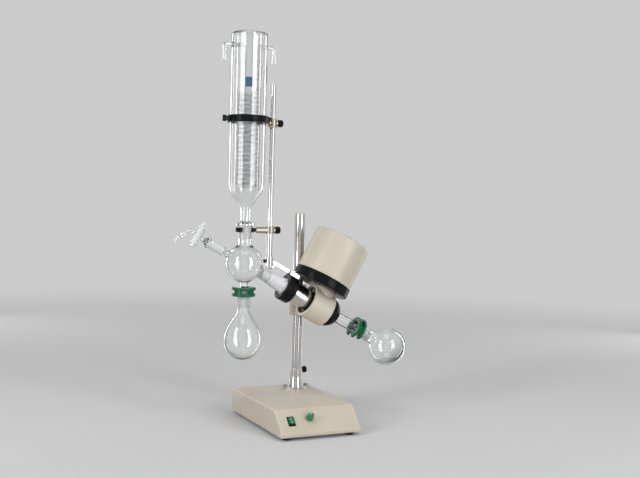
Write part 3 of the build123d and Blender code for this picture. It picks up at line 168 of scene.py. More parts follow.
def turn(bm, outline, place, count=round_count, ripple=None, pick=None):
    """Turns a closed outline of (radius, height) points about a place's axis."""
    rings = [ring_points(bm, place, r, z, count, ripple) for r, z in outline]
    for k, ring in enumerate(rings):
        after = (k + 1) % len(rings)
        finish = 0 if pick is None else pick((outline[k] + outline[after]) / 2)
        join_rings(bm, ring, rings[after], finish)


def turn_part(bm, outline, place, first, last, steps):
    """Turns a closed outline through part of a circle, in degrees, and closes its ends."""
    sections = []
    for k in range(steps + 1):
        angle = math.radians(first + (last - first) * k / steps)
        sections.append([bm.verts.new(place @ Vector((r * math.cos(angle), r * math.sin(angle), z)))
                         for r, z in outline])
    skin(bm, sections)


def skin(bm, sections, loop=False, finish=0):
    """Joins sections in a row, and closes the ends unless they loop."""
    for one, two in zip(sections, sections[1:]):
        join_rings(bm, one, two, finish)
    if loop:
        join_rings(bm, sections[-1], sections[0], finish)
        return
    for end in (sections[0], sections[-1]):
        bm.faces.new(end).material_index = finish


def tube(bm, path, radius, sides=16, bore=0.0, finish=0):
    """Round bar along a path, or a tube with a bore, without twist."""
    ways = [(path[min(i + 1, len(path) - 1)] - path[max(i - 1, 0)]).normalized() for i in range(len(path))]
    across = ways[0].orthogonal().normalized()
    frames = []
    for i, way in enumerate(ways):
        if i:
            across = ways[i - 1].rotation_difference(way) @ across
        across = (across - way * across.dot(way)).normalized()
        frames.append((path[i], across.copy(), way.cross(across)))
    def ring(spot, r):
        centre, x, y = spot
        return [bm.verts.new(centre + (x * math.cos(2 * math.pi * k / sides)
                                       + y * math.sin(2 * math.pi * k / sides)) * r) for k in range(sides)]
    sections = [ring(spot, radius) for spot in frames]
    if bore:
        sections += [ring(spot, bore) for spot in reversed(frames)]
    skin(bm, sections, loop=bool(bore), finish=finish)


def brick(bm, place, size, bevel, steps=3):
    """Box about a place with bevelled edges."""
    made = bmesh.ops.create_cube(bm, size=1.0, matrix=place @ Matrix.Diagonal((*size, 1.0)))
    edges = {edge for vertex in made["verts"] for edge in vertex.link_edges}
    bmesh.ops.bevel(bm, geom=list(edges), offset=bevel, segments=steps, profile=0.5, affect="EDGES",
                    clamp_overlap=True)


def piece(name, bm, finishes, *replaced, like=None, sharp=35.0):
    """Finishes a piece with the finishes given: it takes its body from the node that it replaces or is like."""
    bmesh.ops.recalc_face_normals(bm, faces=bm.faces)
    mesh = bpy.data.meshes.new(name)
    bm.to_mesh(mesh)
    bm.free()
    for made in finishes:
        mesh.materials.append(made)
    mesh.shade_smooth()
    mesh.set_sharp_from_angle(angle=math.radians(sharp))
    obj = bpy.data.objects.new(name, mesh)
    bpy.context.scene.collection.objects.link(obj)
    node = replaced[0] if replaced else like
    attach(obj, body_of[node])
    if replaced:
        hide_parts(*replaced)
    return obj


def turned_piece(name, node, corners, place, count=round_count, ripple=None):
    """Piece turned from rounded corners, in place of one node."""
    bm = bmesh.new()
    turn(bm, soften(corners), place, count, ripple)
    return piece(name, bm, [finish(slot_of[node])], node)


# Shader helpers


class Wire:
    """A socket in a shader's nodes, with arithmetic that adds Math nodes."""

    def __init__(self, shader, socket):
        self.shader = shader
        self.socket = socket

    def math(self, operation, first, second):
        return self.shader.node("Math", {"operation": operation}, {0: first, 1: second})

    def __add__(self, other):
        return self.math("ADD", self, other)

    def __sub__(self, other):
        return self.math("SUBTRACT", self, other)

    def __rsub__(self, other):
        return self.math("SUBTRACT", other, self)

    def __mul__(self, other):
        return self.math("MULTIPLY", self, other)

    def __pow__(self, other):
        return self.math("POWER", self, other)

    def over(self, other):
        """One where this is above other, else zero."""
        return self.math("GREATER_THAN", self, other)

    def step(self, low, high, first=0.0, last=1.0):
        """Smooth change from first to last between low and high."""
        return self.shader.node("MapRange", {"interpolation_type": "SMOOTHSTEP"},
                                {"Value": self, "From Min": low, "From Max": high,
                                 "To Min": first, "To Max": last})

    __radd__ = __add__
    __rmul__ = __mul__


class Shader:
    """Nodes of one material or of the world."""

    def __init__(self, tree):
        self.tree = tree
        tree.nodes.clear()

    def node(self, kind, settings=None, inputs=None, output=0):
        made = self.tree.nodes.new("ShaderNode" + kind)
        for key, value in (settings or {}).items():
            setattr(made, key, value)
        for key, value in (inputs or {}).items():
            if isinstance(value, Wire):
                self.tree.links.new(value.socket, made.inputs[key])
            else:
                made.inputs[key].default_value = value
        return None if output is None else Wire(self, made.outputs[output])

    def spot(self, stretch=(1, 1, 1)):
        """Place on the piece, stretched along its axes."""
        spot = self.node("TexCoord", output="Object")
        if stretch == (1, 1, 1):
            return spot
        return self.node("VectorMath", {"operation": "MULTIPLY"}, {0: spot, 1: stretch})

    def noise(self, size, detail=3.0, stretch=(1, 1, 1)):
        """Noise from 0 to 1 whose grains are about size across."""
        return self.node("TexNoise", None,
                         {"Vector": self.spot(stretch), "Scale": 1 / size, "Detail": detail})

    def blend(self, factor, first, second):
        """Colour between two colours."""
        mix = self.tree.nodes.new("ShaderNodeMix")
        mix.data_type = "RGBA"
        for socket, value in ((mix.inputs[0], factor), (mix.inputs[6], first), (mix.inputs[7], second)):
            if isinstance(value, Wire):
                self.tree.links.new(value.socket, socket)
            else:
                socket.default_value = value
        return Wire(self, mix.outputs[2])

    def bump(self, height, depth, strength=1.0):
        return self.node("Bump", None, {"Height": height, "Distance": depth, "Strength": strength})


def rgba(colour, share=1.0):
    """Colour with its alpha, dimmed to a share."""
    return (colour[0] * share, colour[1] * share, colour[2] * share, 1.0)


def new_finish(name, build, **fixed):
    """Material whose build function returns what drives its sockets; fixed sockets are set directly."""
    material = bpy.data.materials.new(name)
    material.use_nodes = True
    shader = Shader(material.node_tree)
    inputs = {**fixed, **build(shader)}
    surface = shader.node("BsdfPrincipled", None, inputs)
    shader.node("OutputMaterial", None, {"Surface": surface}, output=None)
    return material


# Finishes


def painted(shader, colour):
    """Satin stove paint with a fine orange peel."""
    cloud = shader.noise(0.09, 2.0)
    peel = shader.noise(0.0012, 2.0)
    return {"Base Color": shader.blend(cloud.step(0.3, 0.7), rgba(colour, 0.96), rgba(colour, 1.03)),
            "Roughness": peel * 0.08 + 0.33, "Normal": shader.bump(peel, 0.00004, 0.35)}


def polished(shader, colour):
    """Bright metal with fine lines left by polishing and faint smears."""
    lines = shader.noise(0.0006, 2.0, (0.15, 0.15, 1.0))
    smear = shader.noise(0.03, 3.0)
    return {"Base Color": shader.blend(smear, rgba(colour, 0.95), rgba(colour)),
            "Roughness": smear.step(0.35, 0.8) * 0.07 + lines * 0.06 + 0.07,
            "Normal": shader.bump(lines, 0.00001, 0.3)}


def milled(shader, colour):
    """Plain machined metal."""
    grain = shader.noise(0.0009, 3.0, (1.0, 0.25, 1.0))
    stain = shader.noise(0.02, 3.0)
    return {"Base Color": shader.blend(stain, rgba(colour, 0.86), rgba(colour)),
            "Roughness": grain * 0.2 + 0.24, "Normal": shader.bump(grain, 0.00003, 0.4)}


def cast(shader, colour):
    """Rough cast iron."""
    pits = shader.noise(0.0022, 5.0)
    return {"Base Color": shader.blend(pits, rgba(colour, 0.6), rgba(colour, 1.2)),
            "Roughness": pits * 0.25 + 0.55, "Normal": shader.bump(pits, 0.0003, 0.6)}


def enamelled(shader, colour):
    """Glossy black enamel."""
    peel = shader.noise(0.0016, 2.0)
    return {"Base Color": shader.blend(peel, rgba(colour, 0.8), rgba(colour, 1.2)),
            "Roughness": peel * 0.1 + 0.22, "Normal": shader.bump(peel, 0.00004, 0.3)}


def moulded(shader, colour):
    """Moulded plastic with a fine eroded grain."""
    grain = shader.noise(0.0007, 3.0)
    handled = shader.noise(0.012, 3.0)
    return {"Base Color": shader.blend(handled, rgba(colour, 0.85), rgba(colour, 1.15)),
            "Roughness": handled * 0.14 + grain * 0.1 + 0.34, "Normal": shader.bump(grain, 0.00005, 0.5)}


def rubbery(shader, colour):
    """Dull rubber."""
    grain = shader.noise(0.0005, 3.0)
    return {"Base Color": shader.blend(grain, rgba(colour, 0.8), rgba(colour, 1.2)),
            "Roughness": grain * 0.15 + 0.7, "Normal": shader.bump(grain, 0.00006, 0.6)}


def glossy_plastic(shader, colour):
    """Smooth springy plastic with soft flow marks."""
    flow = shader.noise(0.006, 2.0)
    return {"Base Color": shader.blend(flow, rgba(colour, 0.8), rgba(colour, 1.15)),
            "Roughness": flow * 0.12 + 0.14, "Normal": shader.bump(flow, 0.00006, 0.3)}


def blown(shader, colour):
    """Clear glass that darkens towards its edges, where one looks along its wall: partly the glass's own tint,
    partly painted shade that stands in for the dark surroundings refracted at its edges.
    """
    edge = shader.node("LayerWeight", None, {"Blend": 0.5}, output="Facing") ** 3.0
    wave = shader.noise(0.02, 1.0)
    return {"Base Color": shader.blend(edge, (0.985, 0.99, 0.99, 1.0), rgba(colour)),
            "Normal": shader.bump(wave, 0.00002, 0.15)}


def ground(shader, colour):
    """Glass ground matt for a joint."""
    grit = shader.noise(0.0005, 3.0)
    return {"Base Color": shader.blend(grit, rgba(colour, 0.9), rgba(colour)),
            "Roughness": grit * 0.2 + 0.42, "Normal": shader.bump(grit, 0.00005, 0.5)}


def wound(shader, colour):
    """Copper windings between steel sheets."""
    wires = shader.noise(0.0008, 2.0, (1.0, 1.0, 0.1))
    return {"Base Color": shader.blend(wires, rgba(colour, 0.5), rgba(colour, 1.2)),
            "Roughness": wires * 0.2 + 0.3, "Normal": shader.bump(wires, 0.0001, 0.6)}


def printed(shader, colour):
    """Lacquered circuit board with its tracks."""
    tracks = shader.node("TexVoronoi", {"distance": "MANHATTAN", "feature": "DISTANCE_TO_EDGE"},
                         {"Vector": shader.spot(), "Scale": 260.0})
    line = tracks.step(0.03, 0.06)
    return {"Base Color": shader.blend(line, rgba(colour, 2.0), rgba(colour)),
            "Roughness": line * 0.1 + 0.25, "Normal": shader.bump(line, 0.00005, 0.4)}


def colour(title, words, value):
    """Colour property."""
    return FloatVectorProperty(name=title, description=words, default=value, subtype="COLOR",
                               size=3, min=0.0, max=1.0)


def size(title, words, value):
    """Length property in metres."""
    return FloatProperty(name=title, description=words, default=value, unit="LENGTH", min=0.0, precision=5)


class EvaporatorColours(bpy.types.PropertyGroup):
    """Colours of the evaporator's finishes."""

    paint: colour("Base paint", "Beige paint of the base", (0.60, 0.54, 0.435))
    head: colour("Head paint", "Beige paint of the gear housing and the sleeve", (0.66, 0.60, 0.49))
    cover: colour("Cover paint", "Beige paint of the motor's cover", (0.62, 0.57, 0.46))
    steel: colour("Bright steel", "Polished steel", (0.72, 0.71, 0.69))
    plain: colour("Plain metal", "Machined clamps and fasteners", (0.56, 0.49, 0.40))
    black: colour("Black", "Black plastic and enamel", (0.006, 0.006, 0.007))
    green: colour("Clip green", "Green of the joint clips", (0.003, 0.13, 0.045))
    knob: colour("Knob green", "Green of the speed knob and the switch", (0.01, 0.22, 0.08))
    nut: colour("Nut white", "White of the coupling nut", (0.80, 0.80, 0.82))
    # Edge colour of clear glass: partly its own tint, partly painted shade for the dark refraction at its edges.
    glass: colour("Glass edge", "Colour that clear glass takes at its edges", (0.50, 0.56, 0.56))
    frost: colour("Ground glass", "Colour of the ground joints", (0.93, 0.94, 0.94))
    # Edge colour of the coil's glass, kept pale so that the coil reads white: part of its painted highlight.
    coil: colour("Coil edge", "Colour that the coil's glass takes at its edges", (0.74, 0.78, 0.79))
    patch: colour("Marking patch", "Blue marking patch on the condenser", (0.04, 0.11, 0.21))


def finish_table(c):
    """What each material slot is made with: builder, colour and fixed sockets."""
    metal = {"Metallic": 1.0}
    clear = {"Transmission Weight": 1.0, "IOR": 1.47}
    deep = {"Specular IOR Level": 0.15}
    return {
        "base_paint": (painted, c.paint, {}), "head_paint": (painted, c.head, {}),
        "cover_paint": (painted, c.cover, {}),
        "black_enamel": (enamelled, c.black, deep),
        "black_plastic": (moulded, c.black, deep),
        "bright_steel": (polished, c.steel, metal), "plain_steel": (milled, c.plain, metal),
        "fasteners": (milled, (0.42, 0.41, 0.40), metal), "iron": (cast, (0.10, 0.10, 0.11), {}),
        "zinc_sheet": (milled, (0.62, 0.64, 0.66), metal), "feet_rubber": (rubbery, (0.02, 0.02, 0.02), {}),
        "seal_rubber": (rubbery, (0.015, 0.015, 0.015), {}),
        "seal_ptfe": (moulded, (0.78, 0.78, 0.76), {}),
        "clear_glass": (blown, c.glass, {**clear, "Roughness": 0.01}),
        # Low transmission makes the coil milky white: a painted highlight that stands in for the glints on its
        # turns.
        "coil_glass": (blown, c.coil, {**clear, "Transmission Weight": 0.3, "Roughness": 0.12}),
        "ground_glass": (ground, c.frost, {**clear, "Transmission Weight": 0.25}),
        "green_clip": (glossy_plastic, c.green, {"Specular IOR Level": 0.35}),
        "green_lens": (glossy_plastic, c.knob, {"Coat Weight": 0.6}),
        "white_nut": (moulded, c.nut, {}), "motor_iron": (milled, (0.30, 0.30, 0.31), metal),
        "armature_iron": (wound, (0.45, 0.20, 0.08), metal), "gear_steel": (milled, (0.5, 0.5, 0.5), metal),
        "gear_polymer": (moulded, (0.75, 0.73, 0.66), {}),
        "bearing_steel": (polished, (0.62, 0.62, 0.62), metal),
        "board": (printed, (0.02, 0.09, 0.04), {}), "transformer": (wound, (0.30, 0.16, 0.07), {}),
        "marking": (moulded, c.patch, {}), "print": (moulded, (0.03, 0.03, 0.03), {}),
        "white_print": (moulded, (0.85, 0.85, 0.85), {}),
    }


made_finishes = {}


def finish(slot):
    """The material of one slot, made once."""
    if slot not in made_finishes:
        build, tone, fixed = finish_table(bpy.context.scene.evaporator_colours)[slot]
        tone = tuple(tone)
        made_finishes[slot] = new_finish(slot, lambda shader: build(shader, tone), **fixed)
    return made_finishes[slot]


# Pieces


class EvaporatorSizes(bpy.types.PropertyGroup):
    """Sizes of what the frame doesn't give."""

    wall: size("Glass wall", "Thickness of the blown glass", 0.002)
    joint_gap: size("Joint gap", "Gap in a ground joint", 0.00015)
    neck_blend: size("Neck blend", "Rounding where a neck leaves a bulb", 0.005)
    rim_round: size("Rim rounding", "Rounding of fire-polished rims", 0.0012)
    flask_neck: size("Flask neck", "Outer radius of a flask's neck", 0.0142)
    flask_rim: size("Flask rim", "Outer radius of a flask's rim", 0.0166)
    joint_wide: size("Joint, wide end", "Radius of a ground cone at its wide end", 0.0126)
    joint_narrow: size("Joint, narrow end", "Radius of a ground cone at its narrow end", 0.0112)
    coil_turns: IntProperty(name="Coil turns", description="Turns of the cooling coil", default=21, min=2)
    coil_tube: size("Coil tube", "Radius of the cooling coil's tube", 0.0037)
    knurls: IntProperty(name="Ridges", description="Ridges round the black cap", default=30, min=3)


def sizes():
    return bpy.context.scene.evaporator_sizes


def ridges(outer, count, depth, low, high, sharp=1.0):
    """Ripple for a grip: ridges of some depth on the outermost radius, between two heights."""
    fade = 0.0006

    def ripple(radius, height, angle):
        if radius < outer * 0.93 or not low - fade <= height <= high + fade:
            return radius
        share = min(1.0, (height - low + fade) / (2 * fade), (high + fade - height) / (2 * fade))
        return radius - depth * share * (0.5 - 0.5 * math.cos(count * angle)) ** sharp
    return ripple


def plain_turned(name, node, place, bore=0.0, rounding=0.0008):
    """Piece turned to a node's own length and radius."""
    low, high, radius = reach(node, place)
    corners = [(bore, low, rounding if bore else 0), (radius, low, rounding), (radius, high, rounding),
               (bore, high, rounding if bore else 0)]
    return turned_piece(name, node, corners, place)


def upright_at(node):
    """Upright place through the middle of a node."""
    low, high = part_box(node)
    return Matrix.Translation(((low.x + high.x) / 2, (low.y + high.y) / 2, 0))


class EVAPORATOR_OT_finishes(bpy.types.Operator):
    """Give every node of the frame its finish"""

    bl_idname = "evaporator.finishes"
    bl_label = "Finishes"

    def execute(self, context):
        for node, obj in nodes.items():
            obj.data.materials.clear()
            obj.data.materials.append(finish(slot_of[node]))
        return {"FINISHED"}


class EVAPORATOR_OT_column(bpy.types.Operator):
    """Make the stand tube, the support rod and the lock knobs"""

    bl_idname = "evaporator.column"
    bl_label = "Column and rod"

    def execute(self, context):
        place = upright_at("column_tube")
        low, high, radius = reach("column_tube", place)
        cap = 0.004
        groove = 0.0003
        turned_piece("stand_tube", "column_tube",
                     [(0, low, 0), (radius, low, 0.0005), (radius, high - cap, 0.0002),
                      (radius - groove, high - cap, 0.0002), (radius - groove, high - cap + groove, 0.0002),
                      (radius, high - cap + groove, 0.0002), (radius, high, 0.0012), (0, high, 0)], place)
        plain_turned("glass_rod_stand", "support_rod", upright_at("support_rod"))
        knobs = (("column_knob_grip", "column_lock_knob", Vector((1, 0, 0)), 16, 0.0008, 1.0),
                 ("sleeve_knob_grip", "sleeve_lock_knob", back, 6, 0.0035, 0.8),
                 ("lower_clamp_grip", "lower_clamp_knob", Vector((1, 0, 0)), 8, 0.0013, 0.7),
                 ("upper_clamp_grip", "upper_clamp_knob", Vector((1, 0, 0)), 8, 0.0013, 0.7),
                 ("arm_thumb_grip", "arm_thumbscrew", Vector((-1, 0, 0)), 12, 0.0005, 1.0))
        studs = {"column_lock_knob": (0.003, 0.009), "sleeve_lock_knob": (0.004, 0.017),
                 "lower_clamp_knob": (0.0025, 0.012), "upper_clamp_knob": (0.0025, 0.012),
                 "arm_thumbscrew": (0.002, 0.0052)}
        for name, node, way, count, depth, sharp in knobs:
            stud, length = studs[node]
            joint = next(j for j in joints.values() if j["child"] == body_of[node])
            place = axis_frame(Vector(joint["pos_m"]), way, up)
            low, high, radius = reach(node, place)
            foot = high - length
            waist = foot + length * 0.18
            face = high - length * 0.08
            corners = [(0, low, 0), (stud, low, 0.0003), (stud, foot, 0), (radius * 0.72, foot, 0.0003),
                       (radius * 0.78, waist, 0.0004), (radius, waist + length * 0.08, 0.0008),
                       (radius, high, length * 0.12), (radius * 0.6, high, 0.0003),
                       (radius * 0.5, face, 0.0004), (0, face, 0)]
            ripple = ridges(radius, count, depth, waist + length * 0.06, high, sharp)
            turned_piece(name, node, corners, place, knob_count, ripple)
        return {"FINISHED"}


class EVAPORATOR_OT_head(bpy.types.Operator):
    """Make the turned pieces of the drive head"""

    bl_idname = "evaporator.head"
    bl_label = "Drive head"

    def execute(self, context):
        low, high, radius = reach("motor_cover", at_motor)
        wall = 0.002
        turned_piece("motor_cover_shell", "motor_cover",
                     [(radius - wall, low, 0.0004), (radius, low, 0.0004), (radius, high, 0.007),
                      (0, high, 0), (0, high - wall, 0), (radius - wall, high - wall, 0.005)], at_motor)
        low, high, radius = reach("motor_flange", at_motor)
        lip = 0.0609
        step = high - 0.005
        floor = low + 0.009
        bore = 0.0055
        rib = 0.0006
        turned_piece("motor_flange_ring", "motor_flange",
                     [(bore, low, 0), (radius - 0.001, low, 0.001), (radius, low + 0.002, 0.001),
                      (radius, step - 0.004, 0.0003), (radius - rib, step - 0.0036, 0.0003),
                      (radius - rib, step - 0.0028, 0.0003), (radius, step - 0.0024, 0.0003),
                      (radius, step, 0.0008), (lip, step, 0), (lip, high, 0.0005),
                      (lip - 0.0045, high, 0.0005), (lip - 0.0045, floor, 0.001), (bore, floor, 0)], at_motor)
        low, high, radius = reach("flask_side_cap", at_drive)
        bore = 0.0154
        inner = 0.025
        nose = 0.0215
        band = (low + 0.0030, low + 0.0095)
        turned_piece("flask_side_cap_grip", "flask_side_cap",
                     [(inner, low, 0), (radius, low, 0.0006), (radius, band[0] - 0.0006, 0.0004),
                      (radius, band[1] + 0.0006, 0.002), (radius - 0.0035, low + 0.0165, 0.004),
                      (nose, high, 0.0025), (bore, high, 0.0006), (bore, low + 0.008, 0),
                      (inner, low + 0.008, 0.001)], at_drive, knob_count,
                     ridges(radius, sizes().knurls, 0.0010, *band, 0.6))
        low, high, radius = reach("neck_tube", at_drive)
        turned_piece("neck_sleeve", "neck_tube",
                     [(0.0165, low, 0.0004), (radius, low, 0.0006), (radius, high, 0.0004),
                      (0.0186, high, 0.0003), (0.0186, high - 0.006, 0), (0.0165, high - 0.006, 0)], at_drive)
        low, high, radius = reach("neck_collar", at_drive)
        thread = 0.01908
        seat = 0.0218
        step = low + 0.017
        band = (low + 0.0125, high - 0.003)
        turned_piece("neck_collar_grip", "neck_collar",
                     [(thread, low, 0.0006), (radius - 0.001, low, 0.0015), (radius, low + 0.002, 0.001),
                      (radius, low + 0.0075, 0.0006), (radius - 0.0014, low + 0.0085, 0.0006),
                      (radius - 0.0014, low + 0.0105, 0.0006), (radius - 0.0002, band[0] - 0.0008, 0.0004),
                      (radius - 0.0002, band[1], 0.0004), (radius - 0.001, high, 0.0012),
                      (seat, high, 0.0006), (seat, step, 0), (thread, step, 0)], at_drive, knob_count,
                     ridges(radius, 24, 0.0009, *band, 0.8))
        self.nut()
        return {"FINISHED"}

    def nut(self):
        """White nut with four grip tabs round its skirt."""
        low, high, reach_out = reach("coupling_nut", at_drive)
        bore = 0.0124
        skirt = 0.0164
        thread = 0.019
        shoulder = high - 0.0086
        tabs = 4
        bm = bmesh.new()
        turn(bm, soften([(bore, low, 0.0005), (0.0136, low, 0.0015), (0.0139, low + 0.006, 0.001),
                         (0.0152, low + 0.010, 0.001), (skirt, shoulder - 0.008, 0.002),
                         (skirt, shoulder, 0.0006), (thread - 0.001, shoulder + 0.001, 0.0004),
                         (thread, shoulder + 0.002, 0.0004), (thread, high, 0.0004), (bore, high, 0.0004)]),
             at_drive, knob_count)
        width = 0.004
        length = 0.0075
        inner = 0.0145
        for i in range(tabs):
            middle = at_drive @ Matrix.Rotation(math.radians(360 / tabs * (i + 0.5)), 4, "Z")
            middle = middle @ Matrix.Translation(((inner + reach_out) / 2, 0, shoulder - 0.001 - length / 2))
            brick(bm, middle, (reach_out - inner, width, length), 0.0018, 4)
        piece("coupling_nut_grip", bm, [finish("white_nut")], "coupling_nut")


def sphere_with_holes(bm, radius, holes):
    """Part of a ball between round holes; each hole is a ring of points that lie on the ball."""
    grid = bmesh.new()
    bmesh.ops.create_icosphere(grid, subdivisions=5, radius=radius)
    spots = [vertex.co.copy() for vertex in grid.verts]
    grid.free()
    margin = radius * 0.03
    kept = [spot for spot in spots
            if all((spot - ball_spot).length > reach_out + margin for ball_spot, reach_out in
                   [(hole["middle"], hole["reach"]) for hole in holes])]
    points = [bm.verts.new(ball_point + spot) for spot in kept]
    owner = {}
    for i, hole in enumerate(holes):
        for vertex in hole["ring"]:
            owner[vertex] = i
    hull = bmesh.ops.convex_hull(bm, input=points + [v for hole in holes for v in hole["ring"]])
    faces = [item for item in hull["geom"] if isinstance(item, bmesh.types.BMFace)]
    caps = [face for face in faces
            if len({owner.get(vertex, -1 - vertex.index) for vertex in face.verts}) == 1]
    bmesh.ops.delete(bm, geom=caps, context="FACES_ONLY")


def neck_start(ball, neck, blend):
    """Points of a smooth rise from a ball to a neck: (radius, height) from the ball's centre."""
    r = neck + blend
    z = math.sqrt(ball ** 2 - r ** 2)
    first = Vector((r, z))
    corner = Vector((neck, z + blend * r / z))
    return curve_between(first, corner, Vector((neck, corner.y + blend)), 6)


def vessel(bm, ball, wall, necks, pick_ground):
    """Blown ball with necks, given as (direction, neck radius, bore, outline beyond the ball)."""
    outer_holes, inner_holes = [], []
    for way, neck, bore, outline, grounds in necks:
        place = axis_frame(ball_point, way, back)
        outside = neck_start(ball, neck, sizes().neck_blend)
        inside = neck_start(ball - wall, bore, sizes().neck_blend)
        line = outside + soften(outline) + list(reversed(inside))
        rings = [ring_points(bm, place, r, z, round_count) for r, z in line]
        for k in range(len(rings) - 1):
            middle = (line[k] + line[k + 1]) / 2
            join_rings(bm, rings[k], rings[k + 1], pick_ground(middle, grounds))
        for holes, (r, z), ring in ((outer_holes, line[0], rings[0]), (inner_holes, line[-1], rings[-1])):
            middle = (place.to_3x3() @ Vector((0, 0, 1))) * z
            holes.append({"middle": middle.normalized() * math.hypot(r, z), "ring": ring,
                          "reach": math.hypot(r, math.hypot(r, z) - z)})
    sphere_with_holes(bm, ball, outer_holes)
    sphere_with_holes(bm, ball - wall, inner_holes)


def is_ground(middle, grounds):
    """One where a point of the outline lies in a ground zone (lowest and highest radius and height)."""
    return int(any(r0 <= middle.x <= r1 and z0 <= middle.y <= z1 for r0, r1, z0, z1 in grounds))


def glass_finishes():
    return [finish("clear_glass"), finish("ground_glass")]


class EVAPORATOR_OT_distributor(bpy.types.Operator):
    """Make the blown glass ball with its four necks"""

    bl_idname = "evaporator.distributor"
    bl_label = "Glass distributor"

    def execute(self, context):
        z = sizes()
        low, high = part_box("glass_distributor")
        ball = (high.y - low.y) / 2
        wall = z.wall
        rim = z.rim_round
        feed, side, _ = reach("glass_distributor", at_drive)
        top = high.z - ball_point.z
        wide = z.joint_wide + z.joint_gap
        narrow = z.joint_narrow + z.joint_gap
        socket = 0.015
        flare = 0.0175
        top_neck = [(socket, top - 0.005, 0.001), (flare, top - 0.0035, 0.001), (flare, top, rim),
                    (wide, top, rim), (narrow, top - 0.030, 0.002)]
        cone_end = ball_point.z - low.z
        collar = cone_end - 0.030
        foot_neck = [(0.008, collar - 0.0045, 0.001), (z.flask_rim, collar - 0.0035, 0.001),
                     (z.flask_rim, collar, rim / 2), (0.0122, collar, 0.0003),
                     (z.joint_narrow, cone_end, 0.0006), (0.006, cone_end, 0.0006)]
        side_neck = [(0.012, side - 0.0036, 0.0006), (0.017, side - 0.003, 0.0006), (0.017, side, 0.0006),
                     (0.010, side, 0.0006)]
        length = -feed
        feed_neck = [(0.007, 0.051, 0.001), (0.011, 0.0555, 0.002), (0.011, length - 0.0045, 0.0005),
                     (0.0124, length - 0.003, 0.0008), (0.0124, length, rim), (0.009, length, rim / 2),
                     (0.0086, 0.0575, 0.002), (0.005, 0.0535, 0.001)]
        necks = [(up, socket, narrow, top_neck, [(0.0, wide + 0.0002, top - 0.030, top)]),
                 (-up, 0.008, 0.006, foot_neck, [(0.0105, 0.0124, collar + 0.0005, cone_end - 0.0005)]),
                 (drive_way, 0.012, 0.010, side_neck, [(0.0095, 0.0172, 0.060, side)]),
                 (-drive_way, 0.007, 0.005, feed_neck, [(0.0085, 0.0112, 0.058, length - 0.0045)])]
        bm = bmesh.new()
        vessel(bm, ball, wall, necks, is_ground)
        piece("distributor_bulb", bm, glass_finishes(), "glass_distributor")
        return {"FINISHED"}


def pear_line(inset, stem_z, middle_z, bottom_z, stem, wide):
    """Outline of the pear bulb from its stem to its bottom, moved inwards by inset."""
    flank = (Vector((stem - inset, stem_z)), Vector((stem + 0.006 - inset, stem_z - 0.014)),
             Vector((wide - 0.001 - inset, middle_z + 0.031)), Vector((wide - inset, middle_z)))
    belly = (flank[3], Vector((wide - inset, middle_z - 0.022)), Vector((0.022, bottom_z + inset)),
             Vector((0.0, bottom_z + inset)))
    points = []
    for a, b, c, d in (flank, belly):
        for k in range(20):
            t = k / 20
            s = 1 - t
            points.append(a * s ** 3 + b * (3 * t * s * s) + c * (3 * t * t * s) + d * t ** 3)
    return points + [Vector((0.0, bottom_z + inset))]


